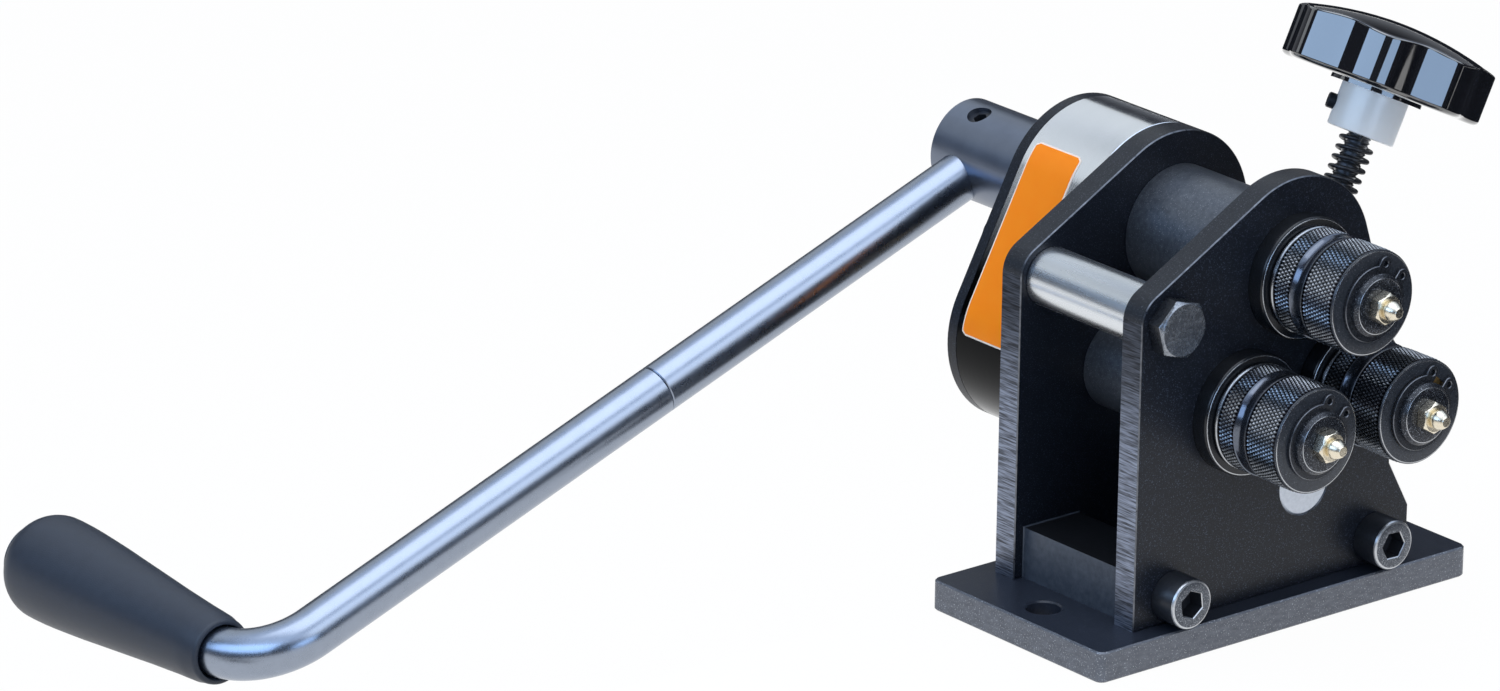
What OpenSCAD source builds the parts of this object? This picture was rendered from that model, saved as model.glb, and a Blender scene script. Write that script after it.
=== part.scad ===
// Bench ring roller: three knurled rollers overhang the front plate, and an
// offset crank turns the two driven ones through a pair of equal gears.
// Origin at the middle of the base underside, rollers toward -Y, crank toward +Y.

/* [Base] */
// Length of the base plate along X
base_l = 153; // [143:1:200]
// Width of the base plate along Y
base_w = 80; // [76:1:120]
// Thickness of the base plate
base_t = 10; // [8:0.5:14]
// Corner radius of the base plate
base_corner_r = 3; // [2:0.5:12]
// Diameter of the two bench bolt holes
bench_hole_d = 11; // [8:0.5:13]
// Distance between the two bench bolt holes
bench_pitch = 130; // [128:1:140]

/* [Frame plates] */
// Thickness of each upright plate
plate_t = 9; // [7:0.5:12]
// Gap between the two upright plates
plate_gap = 47; // [44:1:60]
// Half of the plate width at the foot
plate_half_w = 57; // [55:0.5:62]
// Radius of the plate corner round the stay
corner_r = 10; // [8:0.5:14]
// Height of that corner's centre above the base underside
corner_z = 108.5; // [100:0.5:115]
// Distance of the upright right edge from the plate centre
shoulder_x = 48.4; // [46:0.2:52]
// Height of the right shoulder centre
shoulder_z = 81.5; // [76:0.5:90]
// Rounding of the right shoulder
shoulder_r = 3; // [1:0.5:6]
// Height where the right edge starts to slant out to the foot
waist_z = 41.8; // [34:0.2:50]
// Height where the slanted edge ends
foot_top_z = 26; // [20:0.5:30]

/* [Foot blocks and screws] */
// Width of each foot block along X
block_w = 22.4; // [20:0.2:26]
// Height of each foot block
block_h = 16.6; // [15:0.2:20]
// Distance of the foot screws from the plate centre
foot_screw_x = 42; // [40:0.5:44]
// Height of the foot screws above the base plate
foot_screw_up = 8.7; // [7.8:0.1:9.2]
// Thread size of the frame screws
m_frame = 10; // [8:1:10]
// Head diameter of the cap screws
cap_head_d = 16; // [13:0.5:18]
// Head height of the cap screws
cap_head_h = 10; // [8:0.5:12]
// Width across flats of the cap screw sockets
cap_socket = 8; // [6:0.5:10]
// How far the frame screws end short of the rear face of the frame
screw_short = 1; // [0:0.5:3]
// Thread size of the countersunk base screws
m_base = 4; // [3:0.5:4]
// Distance of the base screws from the middle along Y
base_screw_y = 14; // [8:1:18]
// Width across flats of the stay bolt head
hex_head_w = 17; // [14:0.5:19]
// Height of the stay bolt head
hex_head_h = 6.4; // [5:0.2:8]

/* [Stay] */
// Diameter of the stay tube between the plates
stay_d = 19; // [16:0.5:24]
// Distance of the stay axis from the left edge of the plates
stay_inset = 11.6; // [10:0.2:14]
// Drop of the stay axis below the corner centre
stay_drop = 1.1; // [0:0.1:3]

/* [Roller axes] */
// Upper driven axis, distance to the right of the centre
upper_x = 5.5; // [3:0.5:8]
// Height of the upper driven axis
upper_z = 113.2; // [112:0.2:115]
// Lower driven axis, distance from the centre (negative is left)
lower_x = -15.6; // [-17:0.2:-14]
// Height of the lower driven axis
lower_z = 73.4; // [72:0.2:74.5]
// Idler axis at rest, distance to the right of the centre
idler_x = 27.2; // [26:0.2:28]
// Height of the idler axis at rest
idler_z = 73.4; // [72:0.2:75]

/* [Rollers] */
// Diameter of the knurled rollers
roller_d = 34; // [30:0.5:36]
// Length of the knurled rollers
roller_l = 27.6; // [24:0.2:32]
// Length of the knurl in front of the smooth groove
knurl_front_l = 14; // [10:0.5:16]
// Width of the smooth groove
groove_w = 5; // [3:0.5:7]
// Depth of the smooth groove
groove_depth = 0.7; // [0.3:0.1:2]
// Chamfer on the roller rims
rim_chamfer = 0.6; // [0.3:0.1:1.2]
// Diameter of the shafts and of the idler axle
shaft_d = 20; // [16:0.5:22]
// How far a shaft end stands in front of its roller
shaft_proud = 3.7; // [3:0.1:6]
// Chamfer of the shaft ends
shaft_chamfer = 1.2; // [0.5:0.1:2]
// Diameter of the collars against the front plate
collar_d = 39.2; // [36:0.2:40]
// Thickness of the collars against the front plate
collar_t = 6.1; // [4:0.1:8]
// Chamfer of the collars
collar_chamfer = 0.7; // [0.3:0.1:1.5]
// Thickness of the thrust washers behind the rollers
thrust_t = 0.65; // [0.4:0.05:1.2]
// Outer diameter of the idler bush
idler_bush_d = 24; // [23:0.5:26]

/* [Retaining rings and grease nipples] */
// Thickness of the retaining rings
clip_t = 1.2; // [0.8:0.1:1.6]
// Depth of the ring groove in the shaft
clip_groove = 0.6; // [0.4:0.1:1]
// Width of a retaining ring's band
clip_w = 2.6; // [2:0.1:3.4]
// Radius of the eyes of a retaining ring
clip_eye_r = 2.3; // [1.8:0.1:2.8]
// Diameter of the holes in the eyes
clip_hole_d = 2; // [1.4:0.1:2.4]
// Width across flats of the nipple hexagon
nipple_w = 9; // [8:0.5:11]
// Height of the nipple hexagon
nipple_hex_h = 3.8; // [3:0.1:5]
// Diameter of the nipple ball
nipple_ball_d = 6.5; // [5.5:0.1:7]
// Diameter of the nipple thread
nipple_thread_d = 8; // [6:0.5:8]
// Length of the nipple thread
nipple_thread_l = 6; // [4:0.5:9]
// Height of the nipple in front of the shaft end
nipple_h = 8.3; // [7.5:0.1:10]

/* [Bushes and bearing tubes] */
// Outer diameter of the bearing bushes
bush_d = 25; // [24:0.5:27]
// Length of a bush inside the bearing tube
bush_in = 12; // [8:1:20]
// Diameter of the flange of the rear bushes
rear_flange_d = 34; // [30:1:38]
// Thickness of the rear bush flange
rear_flange_t = 3; // [2:0.5:4]
// Outer diameter of the upper bearing tube
upper_tube_d = 40.5; // [36:0.5:42]
// Outer diameter of the lower bearing tube
lower_tube_d = 30; // [29:0.5:33]

/* [Gear case] */
// Outer radius of the gear case round each axis
case_r = 31; // [30:0.5:33]
// Wall of the gear case band
band_t = 1.2; // [1:0.1:1.5]
// Depth of the gear case band along Y
band_depth = 33; // [31:0.5:44]
// Thickness of the rear cover plate
cover_t = 4; // [3:0.5:6]
// Thickness of the label on the band
label_t = 0.4; // [0.2:0.1:0.8]
// Length of the label along the band
label_l = 65; // [50:1:75]
// Width of the label
label_w = 21.5; // [16:0.5:23]
// Distance of the label from the rear plate
label_from_plate = 9; // [4:0.5:10]
// Start of the label beyond the lower axis
label_start = 11; // [0:0.5:16]
// Corner radius of the label
label_corner_r = 2; // [1:0.5:5]
// Thread size of the case bolt on the left waist
m_case = 6; // [5:0.5:6]
// How far the case bolt lies in from the outer edge of the case
case_bolt_in = 6.3; // [6.3:0.1:9]
// Head diameter of the case bolt
case_bolt_head_d = 10.5; // [9:0.5:12]
// Head height of the case bolt
case_bolt_head_h = 3.3; // [2.7:0.1:5]
// Depth of the case screws in the rear plate
case_screw_in = 7; // [5:0.5:7]
// Thread size of the two small cover screws
m_cover = 4; // [3:0.5:4]
// How far the small cover screws lie in from the outer edge of the case
cover_screw_in = 3.6; // [3.5:0.05:3.7]

/* [Gears] */
// Number of teeth of each gear
teeth = 18; // [16:1:24]
// Face width of the gears
gear_w = 24; // [16:0.5:26]
// Thinning of each tooth flank for play
flank_play = 0.1; // [0.05:0.01:0.15]
// Diameter of the gear bosses
gear_boss_d = 28; // [26:0.5:32]
// Width of the shaft keys
key_w = 6; // [5:0.5:7]
// Height of the keys above the shaft
key_up = 2.8; // [2:0.1:3]
// Depth of the keys in the shaft
key_down = 3.2; // [2.5:0.1:4]

/* [Idler carriage and screw] */
// Cross pin, distance to the right of the centre
pin_x = 12.2; // [11.8:0.2:14]
// Height of the cross pin
pin_z = 43; // [40:0.5:46]
// Diameter of the cross pin
pin_d = 19.8; // [17:0.1:22]
// Plane of the adjusting screw along Y
screw_y = -1.5; // [-4:0.5:0]
// Diameter of the adjusting screw
screw_d = 8; // [7:0.5:8.4]
// Length of the screw beyond the idler axis, downward
screw_tail = 53.5; // [48:0.5:56]
// Diameter of the carriage barrel between the plates
carriage_d = 36; // [33:0.5:38]
// Diameter of the carriage bosses in the plate slots
boss_d = 24; // [23:0.5:25]
// Travel of the carriage downward, away from the upper roller
travel_down = 6; // [2:0.5:6]
// Travel of the carriage upward
travel_up = 8; // [2:0.5:8]
// Diameter of the thrust ring on the screw
ring_d = 13; // [12:0.5:14]
// Height of the thrust ring
ring_h = 6; // [4:0.5:8]

/* [Spring and knob] */
// Outer diameter of the spring
spring_d = 12; // [11.4:0.1:12.6]
// Wire diameter of the spring
wire_d = 1.4; // [1:0.1:1.5]
// Number of curls of the spring
curls = 16; // [10:1:20]
// Outer diameter of the knob collar
knob_collar_d = 21.9; // [18:0.1:24]
// Height of the knob collar
knob_collar_h = 14; // [12:0.5:18]
// Underside of the knob collar, distance from the idler axis
collar_at = 73; // [70:0.2:80]
// Diameter of the set screw in the knob collar
knob_screw_d = 5; // [4:0.5:6]
// How far that set screw stands out
knob_screw_out = 2.5; // [1:0.5:4]
// Largest diameter of the knob
knob_d = 66.8; // [56:0.2:70]
// Height of the knob
knob_h = 23; // [16:0.5:28]
// Number of lobes of the knob
lobes = 7; // [5:1:10]
// Depth of the hollows between the lobes
lobe_depth = 3.8; // [0.6:0.2:5]

/* [Crank] */
// Diameter of the crank hub
hub_d = 31.5; // [29:0.5:36]
// Rear end of the hub behind the case cover
hub_l = 53; // [50:0.5:60]
// Diameter of the crank bar
bar_d = 16; // [14:0.5:18]
// Distance of the bar from the rear end of the hub
bar_inset = 12; // [11:0.5:14]
// Distance from the hub axis to the grip axis
crank_arm = 307.5; // [260:0.5:360]
// Angle of the bar below the horizontal
crank_drop = 20.3; // [0:0.1:40]
// Distance of the bar joint from the hub axis
bar_joint = 144; // [100:1:180]
// Bend radius of the crank bar
bend_r = 22; // [18:0.5:30]
// Diameter of the hub set screw
hub_screw_d = 8; // [6:0.5:10]

/* [Grip] */
// Distance of the grip's lip behind the bar plane
grip_from_bar = 18.5; // [14:0.5:30]
// Length of the grip
grip_l = 100.5; // [80:0.5:120]
// Diameter of the grip at the lip
grip_d1 = 21.2; // [20:0.2:24]
// Largest diameter of the grip
grip_d2 = 34; // [30:0.5:40]
// Rounding of the grip's far end
grip_round = 12; // [5:0.5:15]
// Radial relief of the grip's mouth, clear of the bend of the bar
grip_mouth_gap = 0.7; // [0.6:0.1:1.2]

/* [Hidden] */
// Radial clearance of a seated part
seat = 0.03;
// Radial clearance of a running part
run = 0.05;
// Gap between flat faces of parts that move past each other
slip = 0.3;
// Overrun of every cut
over = 1;
// Reduced ends of the nipple, its neck and its tip
nipple_neck_share = 0.72;
nipple_tip_share = 0.55;
nipple_ball_shares = [[0.9, 0.45], [1, 1], [0.9, 1.5]];
nipple_neck_at_share = 1.8;
// Bore of the grease channel and its depth
grease_d = 3;
grease_l = 32;
// Chamfers and small roundings of turned parts
edge = 0.8;
fine_edge = 0.4;
// Pressure angle of the gears, tip and root as shares of the module
press_angle = 20;
tip_share = 1;
root_share = 1.25;
mid_share = 0.3;
// Screw heads: dome, countersink and socket shares of their diameter
dome_share = 0.55;
sink_share = 1.8;
small_head_share = 1.85;
dome_rim_share = 0.9;
dome_top_share = 0.5;
grip_head_share = 1.7;
grip_socket_share = 0.75;
small_head_h_share = 0.6;
socket_share = 0.5;
socket_depth_share = 0.5;
// Recess of the countersunk heads below the base
sink_in = 0.3;
// Thread of the base screws in the foot blocks
base_screw_up = 12;
// Turn of the stay bolt head
hex_turn = 45;
// Wall left behind the blind bore of the idler axle, to the screw
axle_end = 3.4;
// Spot face of the spring seat on the carriage and its washer
seat_drop = 1;
seat_washer_t = 1;
seat_washer_d = 13;
// Window play round the thrust ring
window_side = 1;
// Rear end of the shafts inside the cover
shaft_back = 0.5;
// Bar beyond the hub axis
bar_past = 9;
// Stud of the bar joint
stud_d = 8;
stud_half_l = 16;
// Rod end, washer and screw in the grip
rod_short = 16;
grip_washer_d = 20;
grip_washer_t = 1.5;
grip_screw_d = 6;
grip_screw_l = 12;
grip_bore_d = 21.6;
// Angles of the two small cover screws round their axes
upper_cover_angle = -20;
lower_cover_angle = -100;
// Angle of the retaining ring openings and half the gap
clip_turn = 52;
clip_half_gap = 13;
clip_eye_turn_share = 1.55;
clip_eye_out_share = 0.35;
// Thrust washers as a share of the collars, gear keys of the face width
washer_share = 0.8;
gear_key_share = 0.67;
// Angle of the knob collar's set screw round the screw axis
knob_screw_turn = 138;
// Turn of the first lobe of the knob and facets of a lobe
lobe_turn = 64;
lobe_steps = 14;
// Knob outline: shares of radius and of height from the underside
knob_shares = [[0, 0], [0.45, 0], [0.45, 0.052], [0.9, 0.052], [0.955, 0.062], [0.99, 0.085], [1, 0.115],
    [1, 0.745], [0.992, 0.768], [0.965, 0.785], [0.9, 0.812], [0.8, 0.85], [0.6, 0.916], [0.4, 0.962],
    [0.2, 0.99], [0, 1]];
// Turn of the spring about its screw
spring_turn = 230;
// Grip outline: shares of the swelling and of the length
grip_shares = [[0, 0.012], [0.1, 0.04], [0.14, 0.09], [0.22, 0.2], [0.38, 0.36], [0.6, 0.54],
    [0.82, 0.7], [0.96, 0.8], [1, 0.85]];
// Rings of a spring curl and sides of the wire
curl_rings = 8;
wire_sides = 6;

y_front = -plate_gap / 2 - plate_t;
y_front_in = -plate_gap / 2;
y_rear_in = plate_gap / 2;
y_rear = plate_gap / 2 + plate_t;
collar_front = y_front - collar_t;
roller_back = collar_front - run - thrust_t;
roller_front = roller_back - roller_l;
shaft_front = roller_front - shaft_proud;
band_back = y_rear + band_depth;
cover_back = band_back + cover_t;
hub_front = cover_back + slip;
hub_back = hub_front + hub_l;
bar_y = hub_back - bar_inset;
hub_bore_end = bar_y - bar_d / 2 - edge;
upper_at = [upper_x, upper_z];
lower_at = [lower_x, lower_z];
idler_at = [idler_x, idler_z];
pin_at = [pin_x, pin_z];
corner_at = [corner_r - plate_half_w, corner_z];
shoulder_at = [shoulder_x - shoulder_r, shoulder_z];
stay_at = [stay_inset - plate_half_w, corner_z - stay_drop];
foot_screw_z = base_t + foot_screw_up;
drive_vec = upper_at - lower_at;
drive_dist = norm(drive_vec);
drive_dir = drive_vec / drive_dist;
drive_side = [-drive_dir[1], drive_dir[0]];
drive_angle = atan2(drive_vec[1], drive_vec[0]);
case_bolt_at = (upper_at + lower_at) / 2 + (case_r - case_bolt_in) * drive_side;
cover_screw_r = case_r - cover_screw_in;
upper_cover_at = upper_at + cover_screw_r * [cos(upper_cover_angle), sin(upper_cover_angle)];
lower_cover_at = lower_at + cover_screw_r * [cos(lower_cover_angle), sin(lower_cover_angle)];
pitch_r = drive_dist / 2;
gear_module = 2 * pitch_r / teeth;
screw_vec = idler_at - pin_at;
tilt = atan2(screw_vec[0], screw_vec[1]);
screw_up = [sin(tilt), cos(tilt)];
screw_end = y_rear - screw_short;
base_screw_out = (block_w + m_frame) / 4;
gear_front = y_rear + rear_flange_t + slip;
gear_back = band_back - rear_flange_t - slip;
gear_mid = (gear_front + gear_back) / 2;
seat_at = carriage_d / 2 - seat_drop;
spring_from = seat_at + seat_washer_t;
spring_l = collar_at - spring_from;
spring_r = (spring_d - wire_d) / 2;
curl_pitch = (spring_l - 2 * wire_d) / curls;
grip_front = bar_y + grip_from_bar;
grip_back = grip_front + grip_l;
rod_end = grip_back - rod_short;
key_roller_l = roller_l - knurl_front_l + groove_w;

// Outward normal of the line that touches two circles on the left of c1 to c2
function touch(c1, r1, c2, r2) = let (d = c2 - c1,
        a = atan2(d[1], d[0]) + acos((r1 - r2) / norm(d))) [cos(a), sin(a)];

// Half of a tooth's angle at radius r
function flat_inv(a) = tan(a) * 180 / PI - a;
function tooth_half(r) = let (base_r = pitch_r * cos(press_angle))
    90 / teeth - flank_play / pitch_r * 180 / PI + flat_inv(press_angle)
    - flat_inv(acos(min(1, base_r / r)));

// Sweep helpers for the spring
function unit(v) = v / norm(v);
function curl_point(i) = let (a = 360 * i / curl_rings)
    [spring_r * cos(a), spring_r * sin(a), wire_d + curl_pitch * i / curl_rings];
function lobed_r(a) = knob_d / 2 - lobe_depth / 2 * (1 - cos(lobes * (a - lobe_turn)));

// Places a body turned about Y at a given axis
module at_axis(p) { translate([p[0], 0, p[1]]) children(); }

// Straight rod along Y
module rod(d, y0, y1) { translate([0, y0, 0]) rotate([-90, 0, 0]) cylinder(d = d, h = y1 - y0, $fn = 64); }

// Body of revolution about Y from points of radius and Y
module turned(points) { rotate([-90, 0, 0]) rotate_extrude($fn = 72) polygon(points); }

// Flat outline in X and Z, thickened from y0 to y1
module slab(y0, y1) { translate([0, y1, 0]) rotate([90, 0, 0]) linear_extrude(y1 - y0) children(); }

// Places a body on the screw axis, at a distance from the idler axis
module on_screw(up) {
    translate([idler_x, screw_y, idler_z]) rotate([0, tilt, 0]) translate([0, 0, up]) children();
}

// Places a body along the crank bar, X running outward from the hub axis
module on_bar() {
    translate([upper_x, bar_y, upper_z]) rotate([0, 180 - crank_drop, 0]) children();
}

// Rod along local X
module bar_rod(d, x0, x1) { translate([x0, 0, 0]) rotate([0, 90, 0]) cylinder(d = d, h = x1 - x0, $fn = 64); }

// Hexagonal prism along Y, width across flats w
module hex_rod(w, y0, y1) {
    translate([0, y0, 0]) rotate([-90, 0, 0]) cylinder(d = w / cos(30), h = y1 - y0, $fn = 6);
}

// Oblong round both driven axes
module oblong(r) {
    translate(upper_at) circle(r = r, $fn = 96);
    translate(lower_at) circle(r = r, $fn = 96);
    polygon([upper_at + r * drive_side, lower_at + r * drive_side,
        lower_at - r * drive_side, upper_at - r * drive_side]);
}

// Points of an arc from one normal to the next, clockwise
function arc(c, r, n1, n2, steps) = let (a1 = atan2(n1[1], n1[0]), a2 = atan2(n2[1], n2[0]),
        sweep = a1 - a2 < 0 ? a1 - a2 + 360 : a1 - a2)
    [for (i = [0:steps]) c + r * [cos(a1 - sweep * i / steps), sin(a1 - sweep * i / steps)]];

// Outline of the upright plates
module plate_outline() {
    n1 = touch(corner_at, corner_r, upper_at, case_r);
    n2 = touch(upper_at, case_r, shoulder_at, shoulder_r);
    polygon(concat([[-plate_half_w, base_t]], arc(corner_at, corner_r, [-1, 0], n1, 8),
        arc(upper_at, case_r, n1, n2, 24), arc(shoulder_at, shoulder_r, n2, [1, 0], 4),
        [[shoulder_x, waist_z], [plate_half_w, foot_top_z], [plate_half_w, base_t]]));
}

// Slot in which a carriage boss slides
module carriage_slot() {
    slot_r = boss_d / 2 + run;
    side = [screw_up[1], -screw_up[0]];
    low = idler_at - travel_down * screw_up;
    high = idler_at + travel_up * screw_up;
    translate(low) circle(r = slot_r, $fn = 64);
    translate(high) circle(r = slot_r, $fn = 64);
    polygon([low - slot_r * side, high - slot_r * side, high + slot_r * side, low + slot_r * side]);
}

// Holes of a plate, with the play of its frame screws
module plate_holes(play) {
    for (p = [upper_at, lower_at]) translate(p) circle(d = bush_d + 2 * seat, $fn = 64);
    translate(pin_at) circle(d = pin_d + 2 * seat, $fn = 64);
    translate(stay_at) circle(d = m_frame + 2 * play, $fn = 48);
    for (s = [-1, 1]) translate([s * foot_screw_x, foot_screw_z]) circle(d = m_frame + 2 * play, $fn = 48);
    carriage_slot();
}

module base_plate() color("#2b2d30") difference() {
    linear_extrude(base_t) union() {
        square([base_l - 2 * base_corner_r, base_w], center = true);
        square([base_l, base_w - 2 * base_corner_r], center = true);
        for (sx = [-1, 1], sy = [-1, 1])
            translate([sx * (base_l / 2 - base_corner_r), sy * (base_w / 2 - base_corner_r)])
                circle(r = base_corner_r, $fn = 48);
    }
    for (s = [-1, 1]) translate([s * bench_pitch / 2, 0, -over])
        cylinder(d = bench_hole_d, h = base_t + 2 * over, $fn = 64);
    base_screw_places() sunk_screw(2 * seat, over);
}

// The four places of the base screws
module base_screw_places() {
    for (sx = [-1, 1], sy = [-1, 1])
        translate([sx * (foot_screw_x + base_screw_out), sy * base_screw_y, 0]) children();
}

// Countersunk screw standing in the base, widened by extra and lengthened down by low
module sunk_screw(extra, low) {
    head = m_base * sink_share;
    translate([0, 0, sink_in])
        cylinder(d1 = head + extra, d2 = m_base + extra, h = (head - m_base) / 2, $fn = 48);
    translate([0, 0, sink_in - low]) cylinder(d = head + extra, h = low, $fn = 48);
    translate([0, 0, sink_in + fine_edge])
        cylinder(d = m_base + extra, h = base_t + base_screw_up - sink_in - fine_edge, $fn = 48);
}

module front_plate() color("#24262a") slab(y_front, y_front_in) difference() {
    plate_outline();
    plate_holes(run);
}

module rear_plate() color("#24262a") difference() {
    slab(y_rear_in, y_rear) difference() {
        plate_outline();
        plate_holes(seat);
    }
    at_axis(case_bolt_at) rod(m_case + 2 * seat, y_rear - case_screw_in, y_rear + over);
    for (p = [upper_cover_at, lower_cover_at])
        at_axis(p) rod(m_cover + 2 * seat, y_rear - case_screw_in, y_rear + over);
}

// Foot block on side s, drilled for its screws
module foot_block(s) difference() {
    translate([s * foot_screw_x - block_w / 2, y_front_in, base_t]) cube([block_w, plate_gap, block_h]);
    translate([s * foot_screw_x, 0, foot_screw_z])
        rod(m_frame + 2 * run, y_front_in - over, y_rear_in + over);
    base_screw_places() translate([0, 0, base_t - over])
        cylinder(d = m_base + 2 * seat, h = base_screw_up + 2 * over, $fn = 48);
}

module left_foot_block() color("#2f3135") foot_block(-1);
module right_foot_block() color("#2f3135") foot_block(1);

// Long socket head cap screw, head in front of the front plate, end in the rear plate
module cap_screw() difference() {
    union() {
        turned([[0, y_front - cap_head_h], [cap_head_d / 2 - edge, y_front - cap_head_h],
            [cap_head_d / 2, y_front - cap_head_h + edge], [cap_head_d / 2, y_front], [0, y_front]]);
        rod(m_frame, y_front - fine_edge, screw_end);
    }
    hex_rod(cap_socket, y_front - cap_head_h - over, y_front - cap_head_h * socket_depth_share);
}

module plate_screws() color("#3a3c40")
    for (s = [-1, 1]) translate([s * foot_screw_x, 0, foot_screw_z]) cap_screw();

module base_screws() color("#3a3c40") base_screw_places() difference() {
    sunk_screw(0, 0);
    translate([0, 0, -over]) cylinder(d = m_base * socket_share / cos(30),
        h = over + sink_in + m_base * socket_depth_share, $fn = 6);
}

module stay_tube() color("#c9ccd0") at_axis(stay_at) difference() {
    rod(stay_d, y_front_in, y_rear_in);
    rod(m_frame + 2 * run, y_front_in - over, y_rear_in + over);
}

// Long hexagon head bolt through the stay, its end in the rear plate
module stay_bolt() color("#3a3c40") at_axis(stay_at) {
    point_r = hex_head_w / 2 / cos(30);
    intersection() {
        rotate([0, -hex_turn, 0]) hex_rod(hex_head_w, y_front - hex_head_h, y_front);
        turned([[0, y_front - hex_head_h], [hex_head_w / 2 - fine_edge, y_front - hex_head_h],
            [point_r + fine_edge, y_front - hex_head_h + edge + fine_edge], [point_r + fine_edge, y_front],
            [0, y_front]]);
    }
    rod(m_frame, y_front - fine_edge, screw_end);
}

module cross_pin() color("#b7bbbf") difference() {
    at_axis(pin_at) turned([[0, y_front], [pin_d / 2 - fine_edge, y_front], [pin_d / 2, y_front + fine_edge],
        [pin_d / 2, y_rear - fine_edge], [pin_d / 2 - fine_edge, y_rear], [0, y_rear]]);
    on_screw(-norm(screw_vec) - pin_d) cylinder(d = screw_d + 2 * run, h = 2 * pin_d, $fn = 48);
}

// Tube that joins the plates round a bush
module bearing_tube(p, d) at_axis(p) difference() {
    rod(d, y_front_in, y_rear_in);
    rod(bush_d + 2 * seat, y_front_in - over, y_rear_in + over);
}

module upper_bearing_tube() color("#2c2e33") bearing_tube(upper_at, upper_tube_d);
module lower_bearing_tube() color("#2c2e33") bearing_tube(lower_at, lower_tube_d);

// Flanged bush of the front plate, its flange is the black collar
module front_bush() turned([[shaft_d / 2 + run, collar_front], [collar_d / 2 - collar_chamfer, collar_front],
    [collar_d / 2, collar_front + collar_chamfer], [collar_d / 2, y_front], [bush_d / 2, y_front],
    [bush_d / 2, y_front_in + bush_in], [shaft_d / 2 + run, y_front_in + bush_in]]);

// Flanged bush of the rear plate, its flange is inside the gear case
module rear_bush() turned([[shaft_d / 2 + run, y_rear_in - bush_in], [bush_d / 2, y_rear_in - bush_in],
    [bush_d / 2, y_rear], [rear_flange_d / 2, y_rear], [rear_flange_d / 2, y_rear + rear_flange_t],
    [shaft_d / 2 + run, y_rear + rear_flange_t]]);

module upper_front_bush() color("#1f2124") at_axis(upper_at) front_bush();
module lower_front_bush() color("#1f2124") at_axis(lower_at) front_bush();
module upper_rear_bush() color("#1f2124") at_axis(upper_at) rear_bush();
module lower_rear_bush() color("#1f2124") at_axis(lower_at) rear_bush();

module gear_case_band() color("#c4cad3") slab(y_rear, band_back) difference() {
    oblong(case_r);
    oblong(case_r - band_t);
}

module gear_case_cover() color("#232529") slab(band_back, cover_back) difference() {
    oblong(case_r);
    for (p = [upper_at, lower_at]) translate(p) circle(d = bush_d + 2 * seat, $fn = 64);
    translate(case_bolt_at) circle(d = m_case + 2 * run, $fn = 48);
    for (p = [upper_cover_at, lower_cover_at]) translate(p) circle(d = m_cover + 2 * run, $fn = 32);
}

module cover_bushes() color("#a9803f") for (p = [upper_at, lower_at]) at_axis(p)
    turned([[shaft_d / 2 + run, band_back - rear_flange_t], [rear_flange_d / 2, band_back - rear_flange_t],
        [rear_flange_d / 2, band_back], [bush_d / 2, band_back], [bush_d / 2, cover_back],
        [shaft_d / 2 + run, cover_back]]);

module case_bolt() color("#4a4d52") at_axis(case_bolt_at) difference() {
    head_r = case_bolt_head_d / 2;
    head_end = cover_back + case_bolt_head_h;
    union() {
        turned([[0, cover_back], [head_r, cover_back], [head_r, cover_back + fine_edge],
            [head_r * dome_rim_share, cover_back + case_bolt_head_h * dome_share],
            [head_r * dome_top_share, head_end], [0, head_end]]);
        rod(m_case, y_rear - case_screw_in, cover_back + fine_edge);
    }
    hex_rod(m_case * socket_share, cover_back + case_bolt_head_h * (1 - dome_share), head_end + over);
}

module cover_screws() color("#4a4d52") for (p = [upper_cover_at, lower_cover_at]) at_axis(p) difference() {
    union() {
        rod(m_cover * small_head_share, cover_back, cover_back + m_cover * small_head_h_share);
        rod(m_cover, y_rear - case_screw_in, cover_back + fine_edge);
    }
    hex_rod(m_cover * socket_share, cover_back + m_cover * small_head_h_share / 2,
        cover_back + m_cover + over);
}

module case_label() color("#f0a93a") intersection() {
    slab(y_rear, band_back) difference() {
        oblong(case_r + label_t);
        oblong(case_r);
    }
    translate([lower_x, 0, lower_z]) rotate([0, -drive_angle, 0])
        translate([label_l / 2 - label_start, y_rear + label_from_plate + label_w / 2, 0])
            linear_extrude(case_r + label_t + over) union() {
                square([label_l - 2 * label_corner_r, label_w], center = true);
                square([label_l, label_w - 2 * label_corner_r], center = true);
                for (sx = [-1, 1], sy = [-1, 1])
                    translate([sx * (label_l / 2 - label_corner_r), sy * (label_w / 2 - label_corner_r)])
                        circle(r = label_corner_r, $fn = 32);
            }
}

// Shaft about Y with a chamfered front end, a ring groove, a nipple bore and key seats
module shaft(y1, keys) difference() {
    turned([[0, shaft_front], [shaft_d / 2 - shaft_chamfer, shaft_front],
        [shaft_d / 2, shaft_front + shaft_chamfer], [shaft_d / 2, roller_front - clip_t - 2 * run],
        [shaft_d / 2 - clip_groove, roller_front - clip_t - 2 * run],
        [shaft_d / 2 - clip_groove, roller_front], [shaft_d / 2, roller_front],
        [shaft_d / 2, y1 - fine_edge], [shaft_d / 2 - fine_edge, y1], [0, y1]]);
    rod(nipple_thread_d + 2 * seat, shaft_front - over, shaft_front + nipple_thread_l + fine_edge);
    rod(grease_d, shaft_front, shaft_front + grease_l);
    for (k = keys) key(k[0], k[1]);
}

// Key lying on top of a shaft from y0 to y1
module key(y0, y1) translate([-key_w / 2, y0, shaft_d / 2 - key_down])
    cube([key_w, y1 - y0, key_down + key_up]);

key_roller = [roller_back - key_roller_l, roller_back - fine_edge];
key_gear = [gear_mid - gear_w * gear_key_share / 2, gear_mid + gear_w * gear_key_share / 2];
key_hub = [hub_front + edge, hub_bore_end - 2 * edge];

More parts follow.
